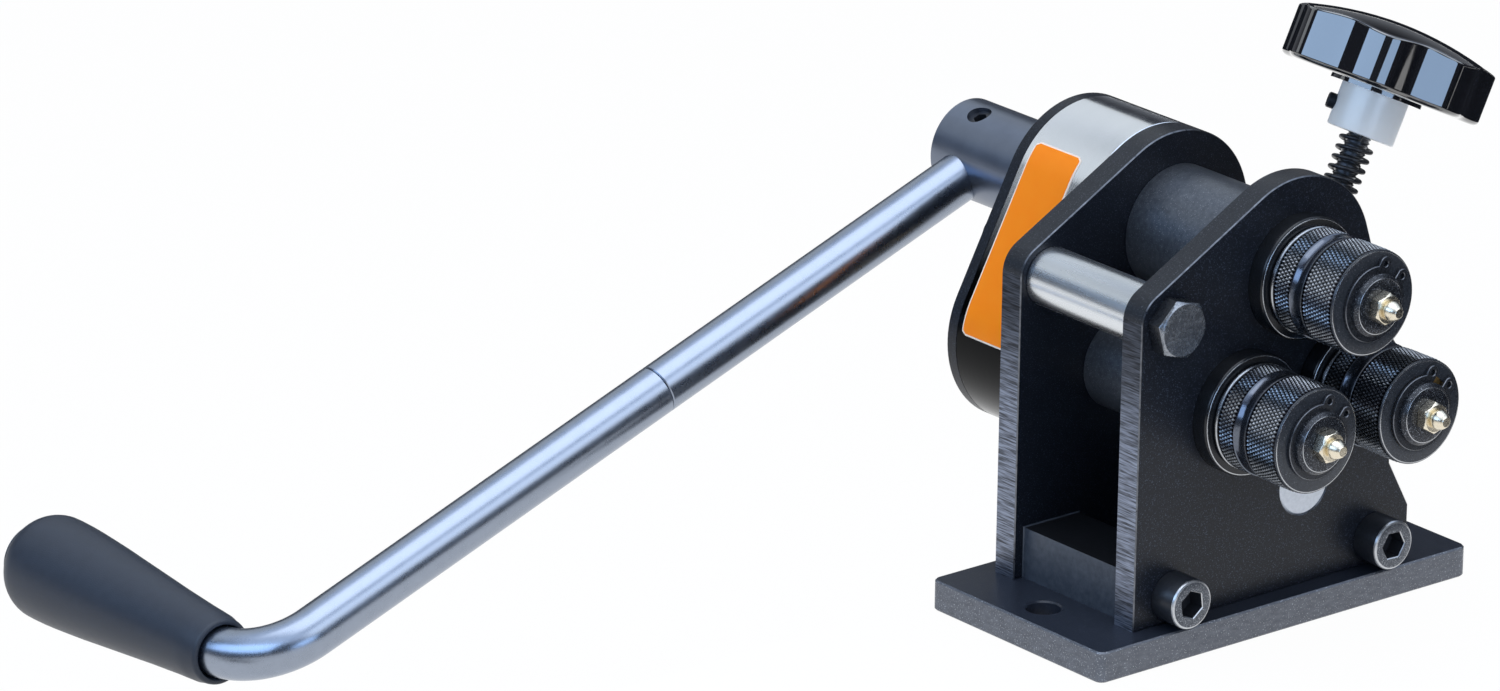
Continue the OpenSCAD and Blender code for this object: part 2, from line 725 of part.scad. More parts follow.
// Roller with its smooth groove, bore radius given
module roller(bore_r) turned([[bore_r, roller_front], [roller_d / 2 - rim_chamfer, roller_front],
    [roller_d / 2, roller_front + rim_chamfer], [roller_d / 2, roller_front + knurl_front_l],
    [roller_d / 2 - groove_depth, roller_front + knurl_front_l + groove_depth],
    [roller_d / 2 - groove_depth, roller_front + knurl_front_l + groove_w - groove_depth],
    [roller_d / 2, roller_front + knurl_front_l + groove_w], [roller_d / 2, roller_back - rim_chamfer],
    [roller_d / 2 - rim_chamfer, roller_back], [bore_r, roller_back]]);

module keyed_roller(p) at_axis(p) difference() {
    roller(shaft_d / 2 + seat);
    key(key_roller[0], roller_back + over);
}

// Thrust washer behind a roller
module washer(p, bore_r) at_axis(p) turned([[bore_r, roller_back], [collar_d * washer_share / 2, roller_back],
    [collar_d * washer_share / 2, roller_back + thrust_t], [bore_r, roller_back + thrust_t]]);

// Open retaining ring with two drilled eyes
module circlip(p) at_axis(p) slab(roller_front - clip_t - run, roller_front - run) {
    inner = shaft_d / 2 - clip_groove + seat;
    outer = inner + clip_w;
    eye_at = outer + clip_eye_r * clip_eye_out_share;
    eye_turn = clip_half_gap * clip_eye_turn_share;
    difference() {
        union() {
            difference() {
                circle(r = outer, $fn = 64);
                rotate(clip_turn) polygon([[0, 0], 2 * outer * [cos(clip_half_gap), -sin(clip_half_gap)],
                    2 * outer * [cos(clip_half_gap), sin(clip_half_gap)]]);
            }
            for (s = [-1, 1]) rotate(clip_turn + s * eye_turn)
                translate([eye_at, 0]) circle(r = clip_eye_r, $fn = 32);
        }
        circle(r = inner, $fn = 64);
        for (s = [-1, 1]) rotate(clip_turn + s * eye_turn)
            translate([eye_at, 0]) circle(d = clip_hole_d, $fn = 24);
    }
}

// Grease nipple screwed into a shaft end
module nipple(p) at_axis(p) {
    ball_r = nipple_ball_d / 2;
    tip = shaft_front - nipple_h;
    hex_in = shaft_front - nipple_hex_h + fine_edge;
    difference() {
        union() {
            hex_rod(nipple_w, shaft_front - nipple_hex_h, shaft_front);
            rod(nipple_thread_d, shaft_front - fine_edge, shaft_front + nipple_thread_l);
            turned(concat([[0, tip], [ball_r * nipple_tip_share, tip]],
                [for (q = nipple_ball_shares) [ball_r * q[0], tip + ball_r * q[1]]],
                [[ball_r * nipple_neck_share, tip + ball_r * nipple_neck_at_share],
                [ball_r * nipple_neck_share, hex_in], [0, hex_in]]));
        }
        rod(grease_d / 2, tip - over, shaft_front + nipple_thread_l + over);
    }
}

// Spur gear about Y with a keyway, turned by an angle about its axis
module gear(p, turn) at_axis(p) difference() {
    union() {
        slab(gear_mid - gear_w / 2, gear_mid + gear_w / 2) rotate(turn) polygon([for (k = [0:teeth - 1]) let (
                root_r = pitch_r - root_share * gear_module, base_r = pitch_r * cos(press_angle),
                mid_r = pitch_r + mid_share * gear_module, tip_r = pitch_r + tip_share * gear_module,
                a = 360 * k / teeth)
            each [for (q = [[root_r, -tooth_half(base_r)], [base_r, -tooth_half(base_r)],
                    [mid_r, -tooth_half(mid_r)], [tip_r, -tooth_half(tip_r)],
                    [tip_r, tooth_half(tip_r)], [mid_r, tooth_half(mid_r)],
                    [base_r, tooth_half(base_r)], [root_r, tooth_half(base_r)]])
                q[0] * [cos(a + q[1]), sin(a + q[1])]]]);
        rod(gear_boss_d, gear_front, gear_back);
    }
    rod(shaft_d + 2 * seat, gear_front - over, gear_back + over);
    key(gear_front - over, gear_back + over);
}

module upper_shaft() color("#55585e") at_axis(upper_at)
    shaft(hub_bore_end - fine_edge, [key_roller, key_gear, key_hub]);
module upper_roller() color("#34363b") keyed_roller(upper_at);
module upper_washer() color("#1f2124") washer(upper_at, shaft_d / 2 + seat);
module upper_keys() color("#8b8e93") at_axis(upper_at)
    for (k = [key_roller, key_gear, key_hub]) key(k[0], k[1]);
module upper_circlip() color("#2a2c30") circlip(upper_at);
module upper_nipple() color("#c9a867") nipple(upper_at);
module upper_gear() color("#6a6d72") gear(upper_at, drive_angle + 180);

module lower_shaft() color("#55585e") at_axis(lower_at) shaft(cover_back - shaft_back, [key_roller, key_gear]);
module lower_roller() color("#34363b") keyed_roller(lower_at);
module lower_washer() color("#1f2124") washer(lower_at, shaft_d / 2 + seat);
module lower_keys() color("#8b8e93") at_axis(lower_at) for (k = [key_roller, key_gear]) key(k[0], k[1]);
module lower_circlip() color("#2a2c30") circlip(lower_at);
module lower_nipple() color("#c9a867") nipple(lower_at);
module lower_gear() color("#6a6d72") gear(lower_at, drive_angle + 180 / teeth);

module crank_hub() color("#565b66") difference() {
    at_axis(upper_at) turned([[0, hub_front], [hub_d / 2 - edge, hub_front], [hub_d / 2, hub_front + edge],
        [hub_d / 2, hub_back - edge], [hub_d / 2 - edge, hub_back], [0, hub_back]]);
    at_axis(upper_at) rod(shaft_d + 2 * seat, hub_front - over, hub_bore_end);
    at_axis(upper_at) key(hub_front - over, hub_bore_end);
    on_bar() bar_rod(bar_d + 2 * seat, -bar_past, hub_d);
    on_bar() mirror([0, 0, 1]) cylinder(d = hub_screw_d + 2 * seat, h = hub_d, $fn = 48);
}

// Set screw that locks the bar, sunk in the top of the hub
module hub_set_screw() color("#2a2c30") on_bar() mirror([0, 0, 1]) difference() {
    translate([0, 0, bar_d / 2]) cylinder(d = hub_screw_d, h = hub_d / 2 - bar_d / 2 - 2 * edge, $fn = 48);
    translate([0, 0, bar_d / 2 + 2 * edge])
        cylinder(d = hub_screw_d * socket_share / cos(30), h = hub_d / 2, $fn = 6);
}

module crank_bar_inner() color("#5d6270") on_bar() difference() {
    union() {
        bar_rod(bar_d, -bar_past, bar_joint - fine_edge);
        translate([bar_joint - fine_edge, 0, 0]) rotate([0, 90, 0])
            cylinder(d1 = bar_d, d2 = bar_d - 2 * fine_edge, h = fine_edge, $fn = 64);
    }
    bar_rod(stud_d + 2 * seat, bar_joint - stud_half_l, bar_joint + over);
}

module crank_bar_outer() color("#5d6270") {
    corner_at_x = crank_arm - bend_r;
    rod_y = rod_end - bar_y;
    on_bar() difference() {
        union() {
            translate([bar_joint, 0, 0]) rotate([0, 90, 0])
                cylinder(d1 = bar_d - 2 * fine_edge, d2 = bar_d, h = fine_edge, $fn = 64);
            bar_rod(bar_d, bar_joint + fine_edge, corner_at_x);
            translate([corner_at_x, bend_r, 0]) rotate([0, 0, -90]) rotate_extrude(angle = 90, $fn = 96)
                translate([bend_r, 0]) circle(d = bar_d, $fn = 64);
            translate([crank_arm, bend_r, 0]) rotate([-90, 0, 0])
                cylinder(d = bar_d, h = rod_y - bend_r, $fn = 64);
        }
        bar_rod(stud_d + 2 * seat, bar_joint - over, bar_joint + stud_half_l);
        translate([crank_arm, rod_y - grip_screw_l, 0]) rotate([-90, 0, 0])
            cylinder(d = grip_screw_d + 2 * seat, h = grip_screw_l + over, $fn = 32);
    }
}

module bar_joint_stud() color("#8b8e93") on_bar()
    bar_rod(stud_d, bar_joint - stud_half_l, bar_joint + stud_half_l);

// Screw and washer that hold the grip on the rod
module grip_screw() color("#8b8e93")
    on_bar() translate([crank_arm, rod_end - bar_y, 0]) rotate([-90, 0, 0]) difference() {
        union() {
            cylinder(d = grip_washer_d, h = grip_washer_t, $fn = 48);
            translate([0, 0, -grip_screw_l])
                cylinder(d = grip_screw_d, h = grip_screw_l + grip_washer_t, $fn = 32);
            cylinder(d = grip_screw_d * grip_head_share, h = grip_washer_t + grip_screw_d, $fn = 48);
        }
        translate([0, 0, grip_washer_t + grip_screw_d / 2])
            cylinder(d = grip_screw_d * grip_socket_share / cos(30), h = grip_screw_d, $fn = 6);
    }

module grip() color("#26282b") on_bar() translate([crank_arm, grip_from_bar, 0]) rotate([-90, 0, 0])
    rotate_extrude($fn = 72) {
        bore = bar_d / 2 + run;
        mouth = bore + grip_mouth_gap;
        mouth_deep = max(edge, bend_r - grip_from_bar + edge);
        floor_at = rod_end - grip_front - run;
        r1 = grip_d1 / 2;
        r2 = grip_d2 / 2;
        polygon(concat([[mouth, 0], [r1 - edge, 0], [r1, edge]],
            [for (q = grip_shares) [r1 + (r2 - r1) * q[0], grip_l * q[1]]],
            [for (a = [0:15:75])
                [r2 - grip_round * (1 - cos(a)), grip_l - grip_round + grip_round * sin(a)]],
            [[grip_bore_d / 2 + fine_edge, grip_l], [grip_bore_d / 2, grip_l - fine_edge],
                [grip_bore_d / 2, floor_at], [bore, floor_at], [bore, mouth_deep + grip_mouth_gap],
                [mouth, mouth_deep]]));
    }

module carriage() color("#3a3c40") {
    axle_to = screw_y - screw_d / 2 - axle_end;
    difference() {
        at_axis(idler_at) {
            rod(carriage_d, y_front_in + slip, y_rear_in - slip);
            rod(boss_d, collar_front, y_rear - slip);
        }
        at_axis(idler_at) rod(shaft_d + 2 * seat, collar_front - over, axle_to);
        on_screw(-carriage_d) cylinder(d = screw_d + 2 * run, h = 2 * carriage_d, $fn = 48);
        on_screw(seat_at) cylinder(d = seat_washer_d + 2 * slip, h = carriage_d, $fn = 48);
        on_screw(-ring_h / 2 - run) translate([-ring_d / 2 - window_side, -ring_d / 2 - slip, 0])
            cube([carriage_d, ring_d + 2 * slip, ring_h + 2 * run]);
    }
}

module idler_axle() color("#55585e") at_axis(idler_at) shaft(screw_y - screw_d / 2 - axle_end, []);

module idler_collar() color("#1f2124") at_axis(idler_at) turned([[boss_d / 2 + seat, collar_front],
    [collar_d / 2 - collar_chamfer, collar_front], [collar_d / 2, collar_front + collar_chamfer],
    [collar_d / 2, y_front - slip], [boss_d / 2 + seat, y_front - slip]]);

module idler_circlip() color("#2a2c30") circlip(idler_at);
module idler_nipple() color("#c9a867") nipple(idler_at);

module spring_washer() color("#8b8e93") on_screw(seat_at) difference() {
    cylinder(d = seat_washer_d, h = seat_washer_t, $fn = 48);
    translate([0, 0, -over]) cylinder(d = screw_d + 2 * run, h = seat_washer_t + 2 * over, $fn = 48);
}

// Centre line of the spring wire: a straight foot, the curls, a straight top
spring_line = concat([[spring_r, 0, 0]], [for (i = [0:curls * curl_rings]) curl_point(i)],
    [[spring_r, 0, spring_l]]);
spring_last = len(spring_line) - 1;
spring_gap = min([for (i = [0:spring_last]) for (j = [i + curl_rings / 2:1:spring_last])
    norm(spring_line[i] - spring_line[j]) - wire_d]);
echo(spring_gap = spring_gap);

module spring() color("#1d1e20") {
    rings = [for (i = [0:spring_last]) let (p = spring_line[i],
            t = i == 0 || i == spring_last ? [0, 0, 1] : unit(spring_line[i + 1] - spring_line[i - 1]),
            w = unit([p[0], p[1], 0]), u = unit(w - (w * t) * t), v = cross(t, u))
        for (k = [0:wire_sides - 1]) let (a = 360 * k / wire_sides)
            p + wire_d / 2 * (cos(a) * u + sin(a) * v)];
    walls = [for (i = [0:spring_last - 1], k = [0:wire_sides - 1]) let (n = (k + 1) % wire_sides,
            a = i * wire_sides + k, b = i * wire_sides + n, c = a + wire_sides, d = b + wire_sides)
        each [[a, c, b], [b, c, d]]];
    ends = [for (k = [1:wire_sides - 2]) each [[0, k, k + 1],
        [spring_last * wire_sides, spring_last * wire_sides + k + 1, spring_last * wire_sides + k]]];
    on_screw(spring_from) rotate([0, 0, spring_turn]) polyhedron(rings, concat(walls, ends), convexity = 10);
}

module idler_roller() color("#34363b") at_axis(idler_at) roller(idler_bush_d / 2 + seat);

module idler_bush() color("#b08a4a") at_axis(idler_at) turned([[shaft_d / 2 + run, roller_front + fine_edge],
    [idler_bush_d / 2, roller_front + fine_edge], [idler_bush_d / 2, roller_back],
    [shaft_d / 2 + run, roller_back]]);

module idler_washer() color("#1f2124") washer(idler_at, shaft_d / 2 + run);

module adjusting_screw() color("#8f9296") on_screw(-screw_tail) {
    full = screw_tail + collar_at + knob_collar_h;
    cylinder(d1 = screw_d - 2 * edge, d2 = screw_d, h = edge, $fn = 48);
    translate([0, 0, edge]) cylinder(d = screw_d, h = full - edge, $fn = 48);
}

module thrust_ring() color("#8b8e93") on_screw(-ring_h / 2) difference() {
    cylinder(d = ring_d, h = ring_h, $fn = 48);
    translate([0, 0, -over]) cylinder(d = screw_d + 2 * seat, h = ring_h + 2 * over, $fn = 48);
}

module knob_collar() color("#d3d6da") on_screw(collar_at) difference() {
    rotate_extrude($fn = 72) polygon([[screw_d / 2 + seat, 0], [knob_collar_d / 2 - fine_edge, 0],
        [knob_collar_d / 2, fine_edge], [knob_collar_d / 2, knob_collar_h],
        [screw_d / 2 + seat, knob_collar_h]]);
    translate([0, 0, knob_collar_h / 2]) rotate([0, 0, knob_screw_turn]) rotate([0, 90, 0])
        cylinder(d = knob_screw_d + 2 * seat, h = knob_collar_d, $fn = 32);
}

module knob_set_screw() color("#2a2c30") on_screw(collar_at + knob_collar_h / 2)
    rotate([0, 0, knob_screw_turn]) rotate([0, 90, 0]) difference() {
        translate([0, 0, screw_d / 2])
            cylinder(d = knob_screw_d, h = knob_collar_d / 2 + knob_screw_out - screw_d / 2, $fn = 32);
        translate([0, 0, knob_collar_d / 2])
            cylinder(d = knob_screw_d * socket_share / cos(30), h = knob_collar_d, $fn = 6);
    }

module knob() color("#17181a") on_screw(collar_at + knob_collar_h) intersection() {
    rotate_extrude($fn = 96) polygon([for (q = knob_shares) [q[0] * knob_d / 2, q[1] * knob_h]]);
    translate([0, 0, -over]) linear_extrude(knob_h + 2 * over) polygon([for (i = [0:lobes * lobe_steps - 1])
        let (a = lobe_turn + 360 * i / (lobes * lobe_steps)) lobed_r(a) * [cos(a), sin(a)]]);
}

base_plate();
front_plate();
rear_plate();
left_foot_block();
right_foot_block();
plate_screws();
base_screws();
stay_tube();
stay_bolt();
cross_pin();
upper_bearing_tube();
lower_bearing_tube();
upper_front_bush();
lower_front_bush();
upper_rear_bush();
lower_rear_bush();
gear_case_band();
gear_case_cover();
cover_bushes();
case_bolt();
cover_screws();
case_label();
upper_shaft();
upper_roller();
upper_washer();
upper_keys();
upper_circlip();
upper_nipple();
upper_gear();
crank_hub();
hub_set_screw();
crank_bar_inner();
crank_bar_outer();
bar_joint_stud();
grip_screw();
lower_shaft();
lower_roller();
lower_washer();
lower_keys();
lower_circlip();
lower_nipple();
lower_gear();
carriage();
idler_axle();
idler_collar();
idler_circlip();
idler_nipple();
spring_washer();
spring();
idler_roller();
idler_bush();
idler_washer();
adjusting_screw();
thrust_ring();
knob_collar();
knob_set_screw();
knob();
grip();
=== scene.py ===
import bpy
import bmesh
import math
from mathutils import Matrix, Vector


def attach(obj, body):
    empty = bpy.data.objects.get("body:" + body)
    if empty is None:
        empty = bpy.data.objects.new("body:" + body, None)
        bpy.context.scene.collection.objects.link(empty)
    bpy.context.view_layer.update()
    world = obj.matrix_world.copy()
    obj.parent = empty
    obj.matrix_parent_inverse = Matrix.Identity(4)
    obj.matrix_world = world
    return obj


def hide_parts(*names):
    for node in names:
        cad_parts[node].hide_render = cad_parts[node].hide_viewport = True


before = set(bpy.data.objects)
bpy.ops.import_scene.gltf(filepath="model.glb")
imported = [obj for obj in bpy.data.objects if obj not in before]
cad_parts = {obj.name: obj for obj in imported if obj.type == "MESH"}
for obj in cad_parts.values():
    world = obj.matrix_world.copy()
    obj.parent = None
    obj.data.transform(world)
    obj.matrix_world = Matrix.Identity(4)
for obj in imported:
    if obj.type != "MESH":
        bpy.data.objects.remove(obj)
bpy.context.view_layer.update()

# The view: the machine seen from its front left, a long lens well back, so
# that the crank reaches to the picture's left side and the rollers face the
# lower right.
mm = 0.001
look_azimuth, look_height, look_roll = math.radians(-39.296), math.radians(19.668), math.radians(0.790)
look_distance = 2692.1 * mm
picture_w, picture_h, lens_px, sensor_w = 1500, 691, 8717.4, 36
aim = Vector((-1.2, -15.76, 60)) * mm
aim_px = (1237.2, 426.14)
toward_lens = Vector((math.sin(look_azimuth) * math.cos(look_height),
                      -math.cos(look_azimuth) * math.cos(look_height), math.sin(look_height)))
level_right = (-toward_lens).cross(Vector((0, 0, 1))).normalized()
level_up = level_right.cross(-toward_lens)
lens_right = math.cos(look_roll) * level_right + math.sin(look_roll) * level_up
lens_up = -math.sin(look_roll) * level_right + math.cos(look_roll) * level_up
camera = bpy.data.objects.new("view", bpy.data.cameras.new("view"))
bpy.context.scene.collection.objects.link(camera)
camera.data.sensor_width = sensor_w
camera.data.lens = lens_px / picture_w * sensor_w
camera.data.clip_start, camera.data.clip_end = 0.1, 20
eye = (aim - (aim_px[0] - picture_w / 2) / lens_px * look_distance * lens_right
       + (aim_px[1] - picture_h / 2) / lens_px * look_distance * lens_up
       + look_distance * toward_lens)
camera.matrix_world = Matrix.Translation(eye) @ Matrix(
    (lens_right, lens_up, toward_lens)).transposed().to_4x4()
bpy.context.scene.camera = camera
bpy.context.scene.view_settings.view_transform = "Standard"

# The bench and the light: the tool is bolted near the rear edge of a white
# bench top, so that the crank can swing past it down to a lower floor. Sky and
# window softboxes make the highlights, black cards the dark stripes between.
bench_rear, bench_half, bench_front, bench_thick = 46 * mm, 1.2, -1.4, 30 * mm
floor_z, floor_thick, card_lift = -260 * mm, 20 * mm, 0.6 * mm


def feed(node, sockets):
    """Fills a shader node's inputs: a socket is wired in, anything else is the value itself."""
    for key, value in sockets.items():
        if isinstance(value, bpy.types.NodeSocket):
            node.id_data.links.new(value, node.inputs[key])
        else:
            node.inputs[key].default_value = value


def shader(tree, kind, sockets, **settings):
    """Adds one shader node to a tree: its own settings first, then its inputs."""
    node = tree.nodes.new("ShaderNode" + kind)
    for key, value in settings.items():
        setattr(node, key, value)
    feed(node, sockets)
    return node


def ramp(tree, factor, stops):
    """A colour ramp through stops of place and tone."""
    node = shader(tree, "ValToRGB", {0: factor})
    marks = node.color_ramp.elements
    marks[0].position, marks[0].color = stops[0][0], (*stops[0][1], 1)
    marks[1].position, marks[1].color = stops[-1][0], (*stops[-1][1], 1)
    for place, tone in stops[1:-1]:
        marks.new(place).color = (*tone, 1)
    return node.outputs[0]


def finish(name):
    """A new material, its node tree and its main shader."""
    made = bpy.data.materials.new(name)
    made.use_nodes = True
    return made, made.node_tree, made.node_tree.nodes["Principled BSDF"]


def white_ground():
    ground, tree, skin = finish("white_ground")
    feed(skin, {"Base Color": (0.86, 0.87, 0.88, 1), "Roughness": 0.7})
    glow = shader(tree, "Emission", {"Color": (1, 1, 1, 1)})
    rays = shader(tree, "LightPath", {})
    shown = rays.outputs["Is Camera Ray"]
    for kind in ("Is Glossy Ray", "Is Transmission Ray"):
        shown = shader(tree, "Math", {0: shown, 1: rays.outputs[kind]}, operation="MAXIMUM").outputs[0]
    part = shader(tree, "Math", {0: shown, 1: 0.97}, operation="MULTIPLY")
    mix = shader(tree, "MixShader", {0: part.outputs[0], 1: skin.outputs[0], 2: glow.outputs[0]})
    feed(tree.nodes["Material Output"], {"Surface": mix.outputs[0]})
    return ground


def stage_piece(name, corners, sides, stuff):
    shape = bpy.data.meshes.new(name)
    shape.from_pydata(corners, [], sides)
    shape.materials.append(stuff)
    made = bpy.data.objects.new(name, shape)
    bpy.context.scene.collection.objects.link(made)
    return made


def ground_piece(name, x_span, y_span, z_span, stuff):
    corners = [(x, y, z) for z in z_span for y in y_span for x in x_span]
    sides = [(0, 2, 3, 1), (4, 5, 7, 6), (0, 1, 5, 4), (2, 6, 7, 3), (0, 4, 6, 2), (1, 3, 7, 5)]
    stage_piece(name, corners, sides, stuff)


def black_card(name, depth0, depth1, side0, side1, z):
    """A matt black card that only reflections see, placed by distances along and across the view."""
    along = Vector((-toward_lens.x, -toward_lens.y, 0)).normalized()
    corners = [d * along + w * level_right + Vector((0, 0, z)) for d, w in
               ((depth0, side0), (depth0, side1), (depth1, side1), (depth1, side0))]
    card = stage_piece(name, corners, [(0, 1, 2, 3)], card_black)
    card.visible_camera = card.visible_diffuse = False


def softbox(name, at, toward, wide, high, watts, tint):
    lamp = bpy.data.lights.new(name, "AREA")
    lamp.shape = "RECTANGLE"
    lamp.size, lamp.size_y, lamp.energy, lamp.color = wide, high, watts, tint
    holder = bpy.data.objects.new(name, lamp)
    bpy.context.scene.collection.objects.link(holder)
    holder.location = at
    holder.rotation_mode = "QUATERNION"
    holder.rotation_quaternion = (Vector(toward) - Vector(at)).to_track_quat("-Z", "Y")


white = white_ground()
ground_piece("bench_top", (-bench_half, bench_half), (bench_front, bench_rear), (-bench_thick, 0), white)
ground_piece("lower_floor", (-6, 6), (-6, 8), (floor_z - floor_thick, floor_z), white)
card_black, _, card_skin = finish("card_black")
feed(card_skin, {"Base Color": (0.01, 0.01, 0.012, 1), "Roughness": 0.9, "Specular IOR Level": 0.1})
black_card("card_right", -0.6, 0.6, 0.22, 1.1, card_lift)
black_card("card_front", -1.6, -0.62, -0.5, 1.1, card_lift)
black_card("card_low_front", -7, -0.8, -2, 7, floor_z + card_lift)
black_card("card_far", 1.55, 7, -4.5, 3.5, floor_z + 2 * card_lift)
softbox("overhead", (-0.1, 0.0, 1.5), (0, 0, 0.05), 1.3, 1.3, 8, (0.96, 0.98, 1.0))
softbox("rear_sky", (0.0, 1.3, 0.9), (0, 0, 0.1), 2.2, 0.8, 4, (0.9, 0.96, 1.0))
softbox("window", (-1.34, 0.03, 0.74), (0, 0, 0.12), 1.8, 0.6, 10, (0.50, 0.72, 1.06))
softbox("front_sky", (0.3, -1.3, 1.05), (0, 0, 0.1), 1.6, 0.9, 5, (0.93, 0.97, 1.0))
softbox("front_window", (-0.41, -1.5, 0.34), (0.06, 0, 0.15), 0.8, 0.45, 3, (0.50, 0.72, 1.06))
room_up = (0.054, -0.201, 0.978)
room_tones = [(0.0, (0.3, 0.31, 0.33)), (0.45, (0.14, 0.15, 0.17)), (0.56, (0.03, 0.032, 0.04)),
              (0.79, (0.06, 0.07, 0.09)), (0.84, (0.85, 1.0, 1.25)), (1.0, (0.85, 1.0, 1.25))]
room = bpy.data.worlds.new("room")
bpy.context.scene.world = room
room.use_nodes = True
sky = room.node_tree
where = shader(sky, "TexCoord", {}).outputs["Generated"]
height = shader(sky, "VectorMath", {0: where, 1: room_up}, operation="DOT_PRODUCT")
lift = shader(sky, "MapRange", {"From Min": -1, "From Max": 1, "Value": height.outputs["Value"]})
feed(sky.nodes["Background"], {"Color": ramp(sky, lift.outputs[0], room_tones), "Strength": 1.0})

# Base plate: a sawn steel flat, 153 x 80 x 10 mm, with a bench bolt hole at
# each end. Its top is painted dark, its sawn sides show the steel. The foot
# blocks that carry the uprights are screwed to it from below.
base_half_l, base_half_w, base_t, base_corner = 76.5 * mm, 40 * mm, 10 * mm, 3 * mm
bench_hole_r, bench_hole_x = 5.5 * mm, 65 * mm
broken_edge = 0.35 * mm


def arc_points(cx, cy, r, a0, a1, steps):
    return [(cx + r * math.cos(math.radians(a0 + (a1 - a0) * i / steps)),
             cy + r * math.sin(math.radians(a0 + (a1 - a0) * i / steps))) for i in range(steps + 1)]


def ring_points(cx, cy, r, steps=40):
    return arc_points(cx, cy, r, 0, 360, steps)[:-1]


def drawn_in(loop, by):
    """The loop moved to its left by a small distance, mitred at its corners."""
    moved = []
    for i, p in enumerate(loop):
        before, after = loop[i - 1], loop[(i + 1) % len(loop)]
        u = Vector((p[0] - before[0], p[1] - before[1])).normalized()
        v = Vector((after[0] - p[0], after[1] - p[1])).normalized()
        n, m = Vector((-u.y, u.x)), Vector((-v.y, v.x))
        both = (n + m).normalized()
        reach = by / max(0.3, both.dot(n))
        moved.append((p[0] + both.x * reach, p[1] + both.y * reach))
    return moved


def cut_plate(outline, holes, low, high, edge, place):
    """A plate cut to an anticlockwise outline with clockwise holes, its rims broken by a small bevel."""
    bm = bmesh.new()
    rims = []
    for loop in [outline] + [h[::-1] for h in holes]:
        inner = drawn_in(loop, edge)
        rows = [[bm.verts.new(place(p[0], p[1], t)) for p in pts]
                for pts, t in ((inner, low), (loop, low + edge), (loop, high - edge), (inner, high))]
        for a, b in zip(rows, rows[1:]):
            for i in range(len(a)):
                j = (i + 1) % len(a)
                bm.faces.new((a[i], a[j], b[j], b[i]))
        rims.append((rows[0], rows[-1]))
    for end in (0, 1):
        edges = []
        for rows in rims:
            row = rows[end]
            edges += [bm.edges.get((row[i], row[(i + 1) % len(row)])) for i in range(len(row))]
        bmesh.ops.triangle_fill(bm, use_beauty=True, use_dissolve=False, edges=edges)
    bmesh.ops.recalc_face_normals(bm, faces=bm.faces)
    return bm


def set_down(name, bm, body, stuff, stands_for, crease=35):
    """Turns finished mesh work into a named piece on its body, in place of a machined one."""
    shape = bpy.data.meshes.new(name)
    bm.to_mesh(shape)
    bm.free()
    for face in shape.polygons:
        face.use_smooth = True
    shape.set_sharp_from_angle(angle=math.radians(crease))
    made = bpy.data.objects.new(name, shape)
    bpy.context.scene.collection.objects.link(made)
    for one in stuff:
        shape.materials.append(one)
    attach(made, body)
    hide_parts(stands_for)


def noise(tree, size, detail, place):
    """Noise whose marks are about as large as a size in millimetres."""
    made = shader(tree, "TexNoise", {"Scale": 1 / (size * mm), "Detail": detail, "Vector": place})
    return made.outputs["Fac"]


def mixed(tree, first, second, part):
    """One tone turned into another by a factor."""
    return shader(tree, "Mix", {"A": first, "B": second, "Factor": part}, data_type="RGBA").outputs["Result"]


def surface(name, dark, light, metal, rough, rough_spread=0.08, grain=1.2, speck=0.3, speck_depth=0.05,
            stretch=(1, 1, 1), gloss=0.5, dots=None):
    """A worked surface: two tones mixed by grain, roughness that wanders, fine specks in relief.
    Dots are a share, a size and a tone of sparse pale spots."""
    made, tree, skin = finish(name)
    place = shader(tree, "TexCoord", {}).outputs["Object"]
    along = shader(tree, "Mapping", {"Scale": stretch, "Vector": place}).outputs[0]
    cloud = noise(tree, grain, 4, along)
    shade = mixed(tree, (*dark, 1), (*light, 1), cloud)
    if dots:
        share, size, pale = dots
        few = shader(tree, "MapRange", {"From Min": share, "From Max": share + 0.1,
                                        "Value": noise(tree, size, 1, place)})
        shade = mixed(tree, shade, (*pale, 1), few.outputs[0])
    wander = shader(tree, "MapRange", {"To Min": rough - rough_spread, "To Max": rough + rough_spread,
                                       "Value": cloud})
    relief = shader(tree, "Bump", {"Distance": speck_depth * mm, "Height": noise(tree, speck, 2, along)})
    feed(skin, {"Metallic": metal, "Specular IOR Level": gloss, "Base Color": shade,
                "Roughness": wander.outputs[0], "Normal": relief.outputs[0]})
    return made


base_paint = surface("base_paint", (0.010, 0.013, 0.020), (0.024, 0.028, 0.040), 0.0, 0.32, grain=2.5,
                     speck=0.35, speck_depth=0.03, gloss=0.4, dots=(0.66, 0.45, (0.06, 0.065, 0.075)))
sawn_side = surface("sawn_side", (0.07, 0.075, 0.088), (0.20, 0.21, 0.235), 0.7, 0.42, grain=1.4, speck=0.4,
                    stretch=(0.35, 0.35, 1), dots=(0.62, 0.5, (0.42, 0.43, 0.45)))
corners = []
for sx, sy, a in ((1, 1, 0), (-1, 1, 90), (-1, -1, 180), (1, -1, 270)):
    corners += arc_points(sx * (base_half_l - base_corner), sy * (base_half_w - base_corner), base_corner,
                          a, a + 90, 8)
slab = cut_plate(corners, [ring_points(s * bench_hole_x, 0, bench_hole_r) for s in (-1, 1)],
                 0, base_t, 1.5 * broken_edge, lambda x, y, t: (x, y, t))
for face in slab.faces:
    at = face.calc_center_median()
    outside = max(abs(at.x) - base_half_l, abs(at.y) - base_half_w) > -base_corner
    face.material_index = 1 if outside and abs(face.normal.z) < 0.95 else 0
set_down("base_slab", slab, "frame", [base_paint, sawn_side], "base_plate")

